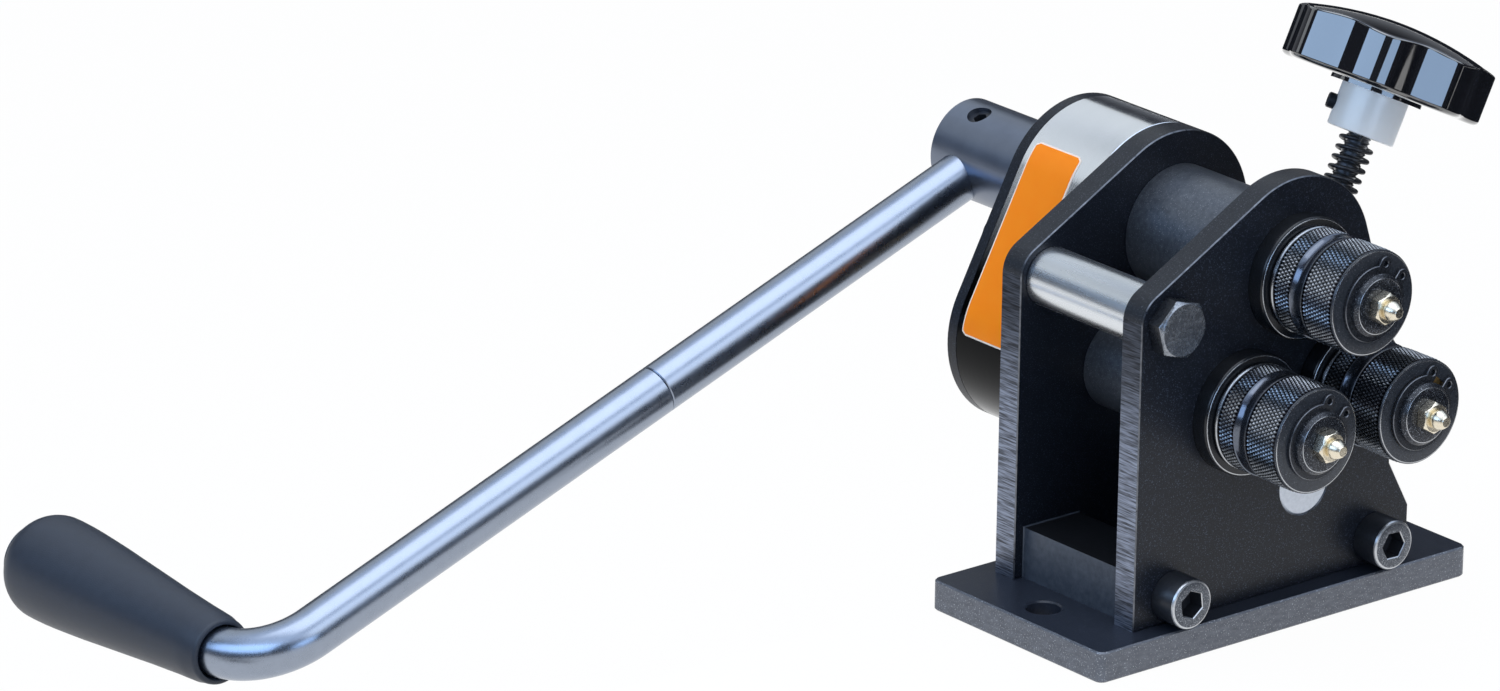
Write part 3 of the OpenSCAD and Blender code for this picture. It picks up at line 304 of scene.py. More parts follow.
# Upright plates: two 9 mm steel plates, laser cut to one outline and painted
# black. Their broad faces show fine grain, their cut edges the bright cross
# lines of the laser. They stand on the base, 47 mm apart.
plate_out, plate_in = 32.5 * mm, 23.5 * mm
upper_axis, lower_axis, idler_axis = (5.5 * mm, 113.2 * mm), (-15.6 * mm, 73.4 * mm), (27.2 * mm, 73.4 * mm)
cross_pin_axis, stay_axis = (12.2 * mm, 43 * mm), (-45.4 * mm, 107.4 * mm)
foot_screw_x, foot_screw_z = 42 * mm, 18.7 * mm
slide_down, slide_up, slot_r = 6 * mm, 8 * mm, 12.05 * mm
top_r, left_r, right_r = 31 * mm, 10 * mm, 3 * mm
screw_run = Vector((idler_axis[0] - cross_pin_axis[0], idler_axis[1] - cross_pin_axis[1])).normalized()


def tangent_turn(c1, r1, c2, r2):
    across = Vector((c2[0] - c1[0], c2[1] - c1[1]))
    return math.degrees(math.atan2(across.y, across.x) + math.acos((r1 - r2) / across.length))


def upright_outline():
    left, right = (-47 * mm, 108.5 * mm), (45.4 * mm, 81.5 * mm)
    t1 = tangent_turn(left, left_r, upper_axis, top_r)
    t2 = tangent_turn(upper_axis, top_r, right, right_r)
    clockwise = [(-57 * mm, base_t)] + arc_points(*left, left_r, 180, t1, 10)
    clockwise += arc_points(*upper_axis, top_r, t1, t2, 48) + arc_points(*right, right_r, t2, 0, 6)
    clockwise += [(48.4 * mm, 41.8 * mm), (57 * mm, 26 * mm), (57 * mm, base_t)]
    return clockwise[::-1]


def boss_slot():
    low = (idler_axis[0] - slide_down * screw_run.x, idler_axis[1] - slide_down * screw_run.y)
    high = (idler_axis[0] + slide_up * screw_run.x, idler_axis[1] + slide_up * screw_run.y)
    turn = math.degrees(math.atan2(screw_run.y, screw_run.x))
    return (arc_points(*high, slot_r, turn - 90, turn + 90, 20)
            + arc_points(*low, slot_r, turn + 90, turn + 270, 20))


def upright_holes():
    bores = [(upper_axis, 12.53), (lower_axis, 12.53), (cross_pin_axis, 9.93), (stay_axis, 5.05),
             ((-foot_screw_x, foot_screw_z), 5.05), ((foot_screw_x, foot_screw_z), 5.05)]
    return [ring_points(*at, r * mm) for at, r in bores] + [boss_slot()]


def by_height(tree, shade, z0, z1, part0, part1):
    """A colour scaled from one part to another as the height goes from z0 to z1."""
    place = shader(tree, "TexCoord", {})
    level = shader(tree, "SeparateXYZ", {0: place.outputs["Object"]})
    rise = shader(tree, "MapRange", {"From Min": z0, "From Max": z1, "To Min": part0, "To Max": part1,
                                     "Value": level.outputs["Z"]})
    return shader(tree, "VectorMath", {0: shade, "Scale": rise.outputs[0]}, operation="SCALE").outputs[0]


def laser_cut_finish():
    """Fine cross lines of the cut on bare darkened steel, paler toward the foot."""
    made, tree, skin = finish("laser_cut")
    place = shader(tree, "TexCoord", {}).outputs["Object"]
    across = shader(tree, "Mapping", {"Scale": (1, 0.06, 1), "Vector": place}).outputs[0]
    lines = noise(tree, 0.4, 2, across)
    tone = ramp(tree, lines, [(0.34, (0.07, 0.075, 0.09)), (0.66, (0.34, 0.38, 0.48))])
    relief = shader(tree, "Bump", {"Distance": 0.035 * mm, "Height": lines})
    feed(skin, {"Metallic": 0.8, "Roughness": 0.36, "Normal": relief.outputs[0],
                "Base Color": by_height(tree, tone, 98 * mm, 66 * mm, 0.22, 0.9)})
    return made


black_plate = surface("black_plate", (0.004, 0.005, 0.008), (0.009, 0.011, 0.016), 0.0, 0.34, 0.07, grain=0.9,
                      speck=0.28, speck_depth=0.04, gloss=0.3, dots=(0.62, 0.33, (0.06, 0.07, 0.095)))
laser_cut = laser_cut_finish()
dark_cut = surface("dark_cut", (0.010, 0.011, 0.013), (0.028, 0.030, 0.036), 0.3, 0.34, 0.07, grain=0.8,
                   gloss=0.4, dots=(0.64, 0.4, (0.10, 0.105, 0.12)))
worn_rim = surface("worn_rim", (0.015, 0.016, 0.02), (0.30, 0.32, 0.36), 1.0, 0.30, grain=2.2,
                   speck_depth=0.03, stretch=(1, 0.2, 1))


def facing_front(x, z, t):
    return x, t, z


def upright(name, y0, y1, node):
    bm = cut_plate(upright_outline(), upright_holes(), y0, y1, broken_edge, facing_front)
    for face in bm.faces:
        flat, level = abs(face.normal.y), abs(face.normal.z)
        face.material_index = 0 if flat > 0.9 else 3 if flat > 0.3 else 1 if level < 0.15 else 2
    set_down(name, bm, "frame", [black_plate, laser_cut, dark_cut, worn_rim], node)


upright("front_upright", -plate_out, -plate_in, "front_plate")
upright("rear_upright", plate_in, plate_out, "rear_plate")

# Foot blocks and frame screws: a steel block stands between the uprights at
# each foot. A long M10 socket cap screw goes through the front upright and the
# block into the rear upright; small countersunk screws hold it from below.
cap_head_r, cap_head_h, cap_socket_w, bolt_r, bolt_len = 8 * mm, 10 * mm, 8 * mm, 5 * mm, 64 * mm
block_half_w, block_top_z = 11.2 * mm, 26.6 * mm


def dress(stuff, *nodes):
    """Gives pieces that keep their machined shape their finish."""
    for node in nodes:
        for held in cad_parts[node].material_slots:
            held.material = stuff


def hex_reach(w, a):
    """How far the side of a hexagon w across flats lies from its axis at the angle a."""
    return w / 2 / math.cos(math.radians((math.degrees(a) + 30) % 60 - 30))


def hex_row(w, t):
    return lambda a: hex_reach(w, a), t


def polar(r, a, t):
    return Vector((r * math.cos(a), r * math.sin(a), t))


def skin_over(bm, rings, tones=None, close=(True, True)):
    """Skins a stack of rings of points and closes its ends; a tone index may go with each band."""
    made = []
    for k, (a, b) in enumerate(zip(rings, rings[1:])):
        for i in range(len(a)):
            j = (i + 1) % len(a)
            made.append(bm.faces.new((a[i], a[j], b[j], b[i])))
            made[-1].material_index = tones[k] if tones else 0
    for end, loop in ((0, rings[0][::-1]), (-1, rings[-1])):
        if close[end]:
            made.append(bm.faces.new(loop))
            made[-1].material_index = tones[end] if tones else 0
    bmesh.ops.recalc_face_normals(bm, faces=made)
    return bm


def turned_part(rows, place, sides=48, tones=None, bm=None, close=(True, True)):
    """Stacks rows of radius and height along a line and skins them; a radius may depend on the angle."""
    bm = bm or bmesh.new()
    turns = [2 * math.pi * i / sides for i in range(sides)]
    rings = [[bm.verts.new(place @ polar(r(a) if callable(r) else r, a, t)) for a in turns] for r, t in rows]
    return skin_over(bm, rings, tones, close)


def along_y(axis, y=0.0, turn=0.0):
    """Local Z runs toward +Y from the given axis."""
    return (Matrix.Translation((axis[0], y, axis[1])) @ Matrix.Rotation(math.radians(-90), 4, "X")
            @ Matrix.Rotation(math.radians(turn), 4, "Z"))


screw_black = surface("screw_black", (0.012, 0.013, 0.016), (0.03, 0.032, 0.038), 0.3, 0.32, grain=0.8,
                      speck=0.2, speck_depth=0.02)
bare_steel = surface("bare_steel", (0.42, 0.44, 0.47), (0.66, 0.68, 0.71), 1.0, 0.30, grain=0.7, speck=0.25,
                     speck_depth=0.03)
screw_face = surface("screw_face", (0.05, 0.055, 0.065), (0.13, 0.14, 0.16), 0.8, 0.30, grain=0.7, speck=0.25,
                     speck_depth=0.04, dots=(0.58, 0.3, (0.35, 0.37, 0.40)))
# Painted shade: the block's top lies in the shadow of the tubes and stay above it, so it is given a
# near-black colour far darker than its steel sides.
block_top_painted_shade = surface("block_top_painted_shade", (0.004, 0.004, 0.005), (0.010, 0.011, 0.013), 0.0, 0.42, grain=1.6,
                    gloss=0.2)
block_side = surface("block_side", (0.03, 0.036, 0.048), (0.10, 0.115, 0.14), 0.3, 0.36, grain=1.8, speck=0.4,
                     speck_depth=0.06)


def socket_cap(bm, place):
    r, h, w, edge = cap_head_r, cap_head_h, cap_socket_w, 0.8 * mm
    rows = [(0.01 * mm, -h * 0.42), hex_row(w - 0.4 * mm, -h * 0.45), hex_row(w, -h * 0.5),
            hex_row(w, -h + 0.25 * mm), hex_row(w + 0.5 * mm, -h), (r - edge, -h),
            (r - edge / 3, -h + edge / 3), (r, -h + edge), (r, -0.2 * mm), (r - 0.2 * mm, 0),
            (bolt_r, 0), (bolt_r, bolt_len)]
    turned_part(rows, place, 48, [0, 0, 0, 1, 2, 1, 1, 0, 0, 0, 0], bm)


caps = bmesh.new()
for sx in (-1, 1):
    socket_cap(caps, along_y((sx * foot_screw_x, foot_screw_z), -plate_out, 12 + 20 * sx))
set_down("socket_caps", caps, "frame", [screw_black, bare_steel, screw_face], "plate_screws")
for side, node in ((-1, "left_foot_block"), (1, "right_foot_block")):
    x0, x1 = side * foot_screw_x - block_half_w, side * foot_screw_x + block_half_w
    block = cut_plate([(x0, base_t), (x0, block_top_z), (x1, block_top_z), (x1, base_t)],
                      [ring_points(side * foot_screw_x, foot_screw_z, 5.05 * mm)],
                      -plate_in, plate_in, broken_edge, facing_front)
    for face in block.faces:
        # Up-facing faces take the painted-shade top colour, the rest take the steel of the sides.
        face.material_index = 0 if face.normal.z > 0.9 else 1
    set_down(node + "_bar", block, "frame", [block_top_painted_shade, block_side], node)
dress(screw_black, "base_screws")

# Stay: a polished tube between the uprights at the top left corner, clamped by
# a long M10 hexagon head bolt that is screwed into the rear upright. Its head
# is blackened, with bare corners where the spanner has worn them.
hex_w, hex_h = 17 * mm, 6.4 * mm
bolt_black = surface("bolt_black", (0.008, 0.009, 0.011), (0.03, 0.032, 0.038), 0.5, 0.28, grain=1.4,
                     speck_depth=0.04)
bolt_worn = surface("bolt_worn", (0.06, 0.064, 0.074), (0.50, 0.53, 0.58), 0.9, 0.26, grain=1.1,
                    speck_depth=0.04)
polished = surface("polished_tube", (0.66, 0.69, 0.72), (0.80, 0.83, 0.86), 1.0, 0.27, 0.05, grain=3,
                   speck=0.5, speck_depth=0.008, stretch=(1, 0.08, 1))


def chamfered_hex(w, inner, low, high):
    """Rows up a hexagon's face chamfer, whose points grow from an inner reach to their full one."""
    point = w / 2 / math.cos(math.radians(30))
    return [(lambda a, limit=inner + (point - inner) * k / 4: min(hex_reach(w, a), limit),
             low + (high - low) * k / 4) for k in range(5)]


def tube_rows(bore, r):
    """A tube from upright to upright, its outer rims broken."""
    edge = 0.3 * mm
    return [(bore, -plate_in), (r - edge, -plate_in), (r, -plate_in + edge), (r, plate_in - edge),
            (r - edge, plate_in), (bore, plate_in), (bore, -plate_in)]


rows = chamfered_hex(hex_w, hex_w / 2 * 0.97, -hex_h, -hex_h * 0.81)
rows += [hex_row(hex_w, -0.3 * mm), (7.8 * mm, -0.3 * mm), (7.8 * mm, 0), (bolt_r, 0), (bolt_r, bolt_len)]
hex_bolt = turned_part(rows, along_y(stay_axis, -plate_out, 45), 72, [1, 1, 1, 1, 0, 0, 0, 0, 0])
set_down("stay_hex_bolt", hex_bolt, "frame", [bolt_black, bolt_worn], "stay_bolt", crease=25)
stay = turned_part(tube_rows(5.03 * mm, 9.5 * mm), along_y(stay_axis), 72, close=(False, False))
set_down("stay_bar", stay, "frame", [polished], "stay_tube")

# Bearing tubes and bushes: dark oxidised tubes hold the uprights apart round
# the two driven shafts. Flanged bushes are pressed into the plates; their
# thick front flanges are the black collars with a bright rim.
collar_face, collar_r, shaft_r, bush_r, bush_back = -38.6 * mm, 19.6 * mm, 10 * mm, 12.5 * mm, -11.5 * mm
dark_tube = surface("dark_tube", (0.075, 0.084, 0.10), (0.18, 0.195, 0.22), 0.8, 0.34, grain=1.5, speck=0.35,
                    speck_depth=0.04, dots=(0.64, 0.4, (0.3, 0.32, 0.36)))
collar_black = surface("collar_black", (0.006, 0.007, 0.008), (0.013, 0.014, 0.017), 0.25, 0.20, 0.05,
                       grain=2, speck=0.4, speck_depth=0.015)
rim_bright = surface("rim_bright", (0.30, 0.31, 0.33), (0.62, 0.64, 0.67), 1.0, 0.24, grain=1.4, speck=0.4,
                     speck_depth=0.02)


def bored_tube(name, axis, r, node):
    tube = turned_part(tube_rows(bush_r + 0.03 * mm, r), along_y(axis), 96, close=(False, False))
    set_down(name, tube, "frame", [dark_tube], node)


def collar_rows(bore, back):
    """A collar's rows from its back through the bore to the front face and out over its rim."""
    return [(bore, back), (bore, collar_face), (collar_r - 0.8 * mm, collar_face),
            (collar_r - 0.5 * mm, collar_face + 0.1 * mm), (collar_r - 0.12 * mm, collar_face + 0.5 * mm),
            (collar_r, collar_face + 0.9 * mm)]


def front_bush(name, axis, node):
    bore = shaft_r + 0.05 * mm
    rows = collar_rows(bore, bush_back)
    rows += [(collar_r, -plate_out), (bush_r, -plate_out), (bush_r, bush_back), (bore, bush_back)]
    bush = turned_part(rows, along_y(axis), 96, [0, 0, 1, 0, 0, 0, 0, 0, 0], close=(False, False))
    set_down(name, bush, "frame", [collar_black, rim_bright], node)


bored_tube("upper_tube", upper_axis, 20.25 * mm, "upper_bearing_tube")
bored_tube("lower_tube", lower_axis, 15 * mm, "lower_bearing_tube")
front_bush("upper_collar_bush", upper_axis, "upper_front_bush")
front_bush("lower_collar_bush", lower_axis, "lower_front_bush")
dress(collar_black, "upper_rear_bush", "lower_rear_bush")

# Cross pin: a zinc plated pin through both uprights, tapped across its middle.
# The adjusting screw works in it, so it carries the whole bending load.
zinc_pin = surface("zinc_pin", (0.52, 0.55, 0.60), (0.80, 0.83, 0.88), 0.7, 0.36, 0.1)
dress(zinc_pin, "cross_pin")

# Gear case: a polished steel strip bent round the two gears and closed by a
# black cover plate. The strip's colour fades to near black toward its lower
# end, a painted dark reflection. A button head bolt holds the cover at the
# left waist and two small screws hold its right side.
case_r, case_wall, case_front, case_back = 31 * mm, 1.2 * mm, 32.5 * mm, 65.5 * mm
drive = Vector((upper_axis[0] - lower_axis[0], upper_axis[1] - lower_axis[1]))
drive_turn = math.degrees(math.atan2(drive.y, drive.x))


def oblong_points(r, steps=40):
    return (arc_points(*upper_axis, r, drive_turn - 90, drive_turn + 90, steps)
            + arc_points(*lower_axis, r, drive_turn + 90, drive_turn + 270, steps))


polished_strip = surface("polished_strip", (0.80, 0.83, 0.87), (0.92, 0.94, 0.97), 1.0, 0.16, 0.04, grain=5,
                         speck=0.5, speck_depth=0.01, stretch=(0.15, 1, 0.15))
strip_skin = polished_strip.node_tree.nodes["Principled BSDF"]
bright = strip_skin.inputs["Base Color"].links[0].from_socket
# Painted dark reflection: the strip's colour is scaled to near black below 96 mm and rises to full at 122 mm.
feed(strip_skin, {"Base Color": by_height(polished_strip.node_tree, bright, 96 * mm, 122 * mm, 0.012, 1.0)})
strip = cut_plate(oblong_points(case_r), [oblong_points(case_r - case_wall)], case_front, case_back,
                  0.25 * mm, facing_front)
set_down("case_strip", strip, "frame", [polished_strip], "gear_case_band")
dress(black_plate, "gear_case_cover")
dress(bolt_black, "case_bolt", "cover_screws")
bushing = surface("bronze_bush", (0.30, 0.19, 0.07), (0.48, 0.33, 0.14), 1.0, 0.38, grain=0.8, speck=0.25,
                  speck_depth=0.03)
dress(bushing, "cover_bushes")

# Label: a plain orange film on the left flat of the strip, with rounded
# corners and a thin pale border. It carries nothing printed.
label_from, label_len, label_y0, label_wide = -11 * mm, 65 * mm, 41.5 * mm, 21.5 * mm
label_border = surface("label_border", (0.90, 0.72, 0.55), (0.94, 0.80, 0.66), 0.0, 0.25, 0.03, grain=4,
                       speck=0.6, speck_depth=0.004)
label_orange = surface("label_orange", (1.0, 0.225, 0.006), (1.0, 0.265, 0.010), 0.0, 0.3, 0.03, grain=6,
                       speck=0.6, speck_depth=0.004, gloss=0.2)


def on_strip(s, r):
    """A point on the left side of the strip, s along the line of the axes from the lower one."""
    along, side = drive.normalized(), Vector((-drive.y, drive.x)).normalized()
    past = min(0, s) + max(0, s - drive.length)
    turn = past / case_r
    return Vector(lower_axis) + (s - past) * along + r * (math.cos(turn) * side + math.sin(turn) * along)


def label_sheet(inset, corner, out, thick):
    """A thin sheet on the strip, drawn in at its ends so that its corners are round."""
    bm = bmesh.new()
    columns, rows = 66, 22
    s0, s1 = label_from + inset, label_from + label_len - inset
    t0, t1 = label_y0 + inset, label_y0 + label_wide - inset
    grid = []
    for i in range(columns + 1):
        s = s0 + (s1 - s0) * i / columns
        near = min(s - s0, s1 - s)
        pull = corner - math.sqrt(max(0, corner ** 2 - (corner - near) ** 2)) if near < corner else 0
        p, q = on_strip(s, case_r + out), on_strip(s, case_r + out + thick)
        heights = [t0 + pull + (t1 - t0 - 2 * pull) * j / rows for j in range(rows + 1)]
        grid.append([(bm.verts.new((q.x, t, q.y)), bm.verts.new((p.x, t, p.y))) for t in heights])
    for i in range(columns):
        for j in range(rows):
            for k in (0, 1):
                bm.faces.new((grid[i][j][k], grid[i + 1][j][k], grid[i + 1][j + 1][k], grid[i][j + 1][k]))
        for j in (0, rows):
            bm.faces.new((grid[i][j][0], grid[i][j][1], grid[i + 1][j][1], grid[i + 1][j][0]))
    for i in (0, columns):
        for j in range(rows):
            bm.faces.new((grid[i][j][0], grid[i][j][1], grid[i][j + 1][1], grid[i][j + 1][0]))
    bmesh.ops.recalc_face_normals(bm, faces=bm.faces)
    return bm


set_down("label_back", label_sheet(0, 1.8 * mm, 0.0, 0.2 * mm), "frame", [label_border], "case_label")
set_down("label_front", label_sheet(0.6 * mm, 1.3 * mm, 0.2 * mm, 0.15 * mm), "frame", [label_orange],
         "case_label")

# Rollers: hardened steel, 34 mm across, blackened. From the front a fine
# diamond knurl, a smooth groove that shapes round stock, a second knurl and a
# bright rim. The upper and lower rollers are keyed to their shafts.
roller_r, roller_front, roller_back = 17 * mm, -66.9 * mm, -39.3 * mm
groove_from, groove_to, groove_lip = -52.9 * mm, -47.9 * mm, 0.3 * mm
knurl_count, knurl_row, knurl_depth = 80, 1.135 * mm, 0.42 * mm
roller_black = surface("roller_black", (0.022, 0.024, 0.028), (0.055, 0.059, 0.068), 0.4, 0.24, grain=1.3,
                       speck_depth=0.03, dots=(0.64, 0.35, (0.16, 0.17, 0.19)))
groove_steel = surface("groove_steel", (0.10, 0.112, 0.14), (0.17, 0.19, 0.23), 0.95, 0.17, 0.04, grain=1.6,
                       speck_depth=0.01, stretch=(1, 0.2, 1))


def knurl_finish(name, axis):
    """Dark in the grooves and rubbed bright on the crests, by the distance from the roller's own axis."""
    made, tree, skin = finish(name)
    place = shader(tree, "TexCoord", {}).outputs["Object"]
    off = shader(tree, "VectorMath", {0: place, 1: (axis[0], 0, axis[1])}, operation="SUBTRACT")
    flat = shader(tree, "VectorMath", {0: off.outputs[0], 1: (1, 0, 1)}, operation="MULTIPLY")
    reach = shader(tree, "VectorMath", {0: flat.outputs[0]}, operation="LENGTH")
    wear = shader(tree, "MapRange", {"From Min": roller_r - knurl_depth, "From Max": roller_r,
                                     "Value": reach.outputs["Value"]})
    part = shader(tree, "Math", {0: wear.outputs[0], 1: noise(tree, 1.6, 2, place)}, operation="MULTIPLY")
    shade = mixed(tree, (0.008, 0.009, 0.011, 1), (0.62, 0.66, 0.72, 1), part.outputs[0])
    feed(skin, {"Metallic": 0.9, "Roughness": 0.24, "Base Color": shade})
    return made


def knurl_band(bm, place, y0, y1, stack):
    """Rows of alternate crests and floors, 30 degrees to the axis; each crest is a small pyramid."""
    steps = max(2, round((y1 - y0) / knurl_row))
    for k in range(steps + 1):
        reach = [roller_r if (i + k) % 2 == 0 and 0 < k < steps else roller_r - knurl_depth
                 for i in range(2 * knurl_count)]
        row = [bm.verts.new(place @ polar(r, math.pi * i / knurl_count, y0 + (y1 - y0) * k / steps))
               for i, r in enumerate(reach)]
        stack.append((row, 1 if k else 0, k))


def knurled_roller(name, axis, bore, body, node):
    """A stack of rows from the front face back, each with the tone of the band before it."""
    bm, place, sides, stack = bmesh.new(), along_y(axis), 2 * knurl_count, []
    r, front, back = roller_r, roller_front, roller_back

    def plain(reach, t, tone):
        ring = [bm.verts.new(place @ polar(reach, 2 * math.pi * i / sides, t)) for i in range(sides)]
        stack.append((ring, tone, None))

    plain(bore, front, 0)
    plain(r - 0.9 * mm, front, 0)
    plain(r - 0.6 * mm, front + 0.1 * mm, 2)
    plain(r - 0.3 * mm, front + 0.3 * mm, 0)
    plain(r - 0.25 * mm, front + 0.6 * mm, 0)
    knurl_band(bm, place, front + 0.9 * mm, groove_from - 0.2 * mm, stack)
    plain(r - 0.15 * mm, groove_from, 0)
    for u in [k / 8 for k in range(9)]:
        plain(r - 0.45 * mm - 0.45 * mm * math.sin(math.pi * u),
              groove_from + groove_lip + (groove_to - groove_from - 2 * groove_lip) * u, 3)
    plain(r - 0.15 * mm, groove_to, 3)
    knurl_band(bm, place, groove_to + 0.2 * mm, back - 1.3 * mm, stack)
    plain(r - 0.3 * mm, back - 1.1 * mm, 0)
    plain(r, back - 0.8 * mm, 2)
    plain(r, back - 0.3 * mm, 2)
    plain(r - 0.3 * mm, back, 2)
    plain(bore, back, 0)
    plain(bore, front, 0)
    for (a, _, ka), (b, tone, kb) in zip(stack, stack[1:]):
        for i in range(sides):
            j = (i + 1) % sides
            if ka is None or kb is None:
                bm.faces.new((a[i], a[j], b[j], b[i])).material_index = tone
                continue
            if (i + kb - 1) % 2 == 0:
                pair = ((a[i], a[j], b[i]), (a[j], b[j], b[i]))
            else:
                pair = ((a[i], a[j], b[j]), (a[i], b[j], b[i]))
            for three in pair:
                bm.faces.new(three).material_index = 1
    bmesh.ops.recalc_face_normals(bm, faces=bm.faces)
    knurl = knurl_finish(name + "_knurl", axis)
    set_down(name, bm, body, [roller_black, knurl, rim_bright, groove_steel], node, crease=20)


knurled_roller("upper_roller_body", upper_axis, shaft_r + 0.03 * mm, "crank", "upper_roller")
knurled_roller("lower_roller_body", lower_axis, shaft_r + 0.03 * mm, "lower_drive", "lower_roller")
knurled_roller("idler_roller_body", idler_axis, 12.03 * mm, "idler", "idler_roller")
dress(collar_black, "upper_washer", "lower_washer", "idler_washer")
dress(bushing, "idler_bush")

# Shafts and idler axle: ground steel bars of 20 mm, darkened by oil, whose
# chamfered ends stand in front of the rollers. Keys join the shafts to the
# rollers, the gears and the crank hub.
shaft_front, chamfer, nipple_bore = -70.6 * mm, 1.2 * mm, 4.03 * mm
ring_slot_depth, ring_slot_front = 0.6 * mm, roller_front - 1.3 * mm
shaft_steel = surface("shaft_steel", (0.012, 0.013, 0.015), (0.045, 0.047, 0.055), 0.6, 0.24, 0.06, grain=1.0,
                      speck_depth=0.03, dots=(0.60, 0.32, (0.22, 0.23, 0.25)))


def shaft_body(name, axis, back, body, node):
    front, face_r = shaft_front, shaft_r - chamfer
    rows = [(nipple_bore, front + 6 * mm), (nipple_bore, front), (face_r - 0.15 * mm, front),
            (face_r + 0.1 * mm, front + 0.1 * mm), (shaft_r, front + chamfer), (shaft_r, ring_slot_front),
            (shaft_r - ring_slot_depth, ring_slot_front), (shaft_r - ring_slot_depth, roller_front),
            (shaft_r, roller_front), (shaft_r, back - 0.4 * mm), (shaft_r - 0.4 * mm, back)]
    bar = turned_part(rows, along_y(axis), 72, [0, 0, 1, 0, 0, 0, 0, 0, 0, 0])
    set_down(name, bar, body, [shaft_steel, rim_bright], node)


shaft_body("upper_shaft_bar", upper_axis, 101.5 * mm, "crank", "upper_shaft")
shaft_body("lower_shaft_bar", lower_axis, 69 * mm, "lower_drive", "lower_shaft")
shaft_body("idler_axle_bar", idler_axis, -10.4 * mm, "carriage", "idler_axle")
dress(bare_steel, "upper_keys", "lower_keys")

# Retaining rings: spring steel rings snapped into the shaft grooves in front
# of the rollers, each open at the upper right with two drilled eyes for the
# pliers.
ring_inner, ring_outer, ring_turn = 9.43 * mm, 12.03 * mm, 52
eye_at, eye_r, eye_swing, eye_hole_r = 12.83 * mm, 2.3 * mm, 20.15, 1 * mm
gap_outer, gap_inner = 10.2, 13.5
ring_steel = surface("ring_steel", (0.02, 0.021, 0.024), (0.06, 0.062, 0.07), 0.6, 0.28, grain=1,
                     speck_depth=0.02)
ring_edge = surface("ring_edge", (0.05, 0.053, 0.06), (0.26, 0.27, 0.30), 0.9, 0.3, grain=1.5,
                    speck_depth=0.02)


def ring_outline(axis):
    """Anticlockwise round the outside, swelling at the two eyes, and back along the inside."""
    outline = []
    for k in range(171):
        a = gap_outer + (360 - 2 * gap_outer) * k / 170
        r = ring_outer
        for swing in (eye_swing, 360 - eye_swing):
            off = math.radians(a - swing)
            under = eye_r ** 2 - (eye_at * math.sin(off)) ** 2
            if abs(a - swing) < 12 and under > 0:
                r = max(r, eye_at * math.cos(off) + math.sqrt(under))
        t = math.radians(a + ring_turn)
        outline.append((axis[0] + r * math.cos(t), axis[1] + r * math.sin(t)))
    return outline + arc_points(*axis, ring_inner, ring_turn + 360 - gap_inner, ring_turn + gap_inner, 90)


def snap_ring(name, axis, body, node):
    eyes = []
    for swing in (-eye_swing, eye_swing):
        eye = arc_points(*axis, eye_at, ring_turn + swing, ring_turn + swing, 1)[0]
        eyes.append(ring_points(*eye, eye_hole_r, 20))
    ring = cut_plate(ring_outline(axis), eyes, roller_front - 1.25 * mm, roller_front - 0.05 * mm, 0.2 * mm,
                     facing_front)
    for face in ring.faces:
        face.material_index = 1 if 0.3 < abs(face.normal.y) < 0.9 else 0
    set_down(name, ring, body, [ring_steel, ring_edge], node)


snap_ring("upper_snap_ring", upper_axis, "crank", "upper_circlip")
snap_ring("lower_snap_ring", lower_axis, "lower_drive", "lower_circlip")
snap_ring("idler_snap_ring", idler_axis, "carriage", "idler_circlip")

# Grease nipples: pale brass, a hexagon 9 mm across flats under a waisted ball
# head with a small pip, screwed into each shaft end. They feed the bushes.
nipple_w = 9 * mm
nipple_brass = surface("nipple_brass", (0.74, 0.65, 0.49), (0.90, 0.84, 0.70), 1.0, 0.26, 0.07, grain=0.9,
                       speck=0.25, speck_depth=0.03)


def in_mm(*pairs):
    return [(r * mm, t * mm) for r, t in pairs]


def grease_nipple(name, axis, body, node, turn):
    rows = in_mm((0.4, -8.25), (1.5, -8.25), (1.85, -8.0), (2.5, -7.1), (3.0, -6.2), (3.22, -5.5),
                 (3.22, -5.0), (3.0, -4.5), (2.4, -4.1), (2.3, -3.85))
    rows += chamfered_hex(nipple_w, 4.3 * mm, -3.8 * mm, -3.1 * mm)
    rows += [hex_row(nipple_w, -0.15 * mm)] + in_mm((4.2, 0), (4, 0), (4, 6))
    set_down(name, turned_part(rows, along_y(axis, shaft_front, turn)), body, [nipple_brass], node, crease=28)


grease_nipple("upper_nipple_body", upper_axis, "crank", "upper_nipple", 10)
grease_nipple("lower_nipple_body", lower_axis, "lower_drive", "lower_nipple", 24)
grease_nipple("idler_nipple_body", idler_axis, "carriage", "idler_nipple", 2)

# Gears: two equal spur gears, keyed to the two shafts inside the case, turn
# them opposite ways. They are cut from steel and oiled.
dress(shaft_steel, "upper_gear", "lower_gear")

# Idler carriage: a round steel body between the uprights whose two bosses slide
# in their slots. It carries the idler axle in front and is moved by the
# adjusting screw, whose thrust ring lies in its window.
idler_bore, idler_collar_back = 12.03 * mm, -32.8 * mm
dress(dark_tube, "carriage")
dress(bare_steel, "thrust_ring")
rows = collar_rows(idler_bore, idler_collar_back)
rows += [(collar_r, idler_collar_back), (idler_bore, idler_collar_back)]
collar_ring = turned_part(rows, along_y(idler_axis), 96, [0, 0, 1, 0, 0, 0, 0], close=(False, False))
set_down("idler_collar_ring", collar_ring, "carriage", [collar_black, rim_bright], "idler_collar")

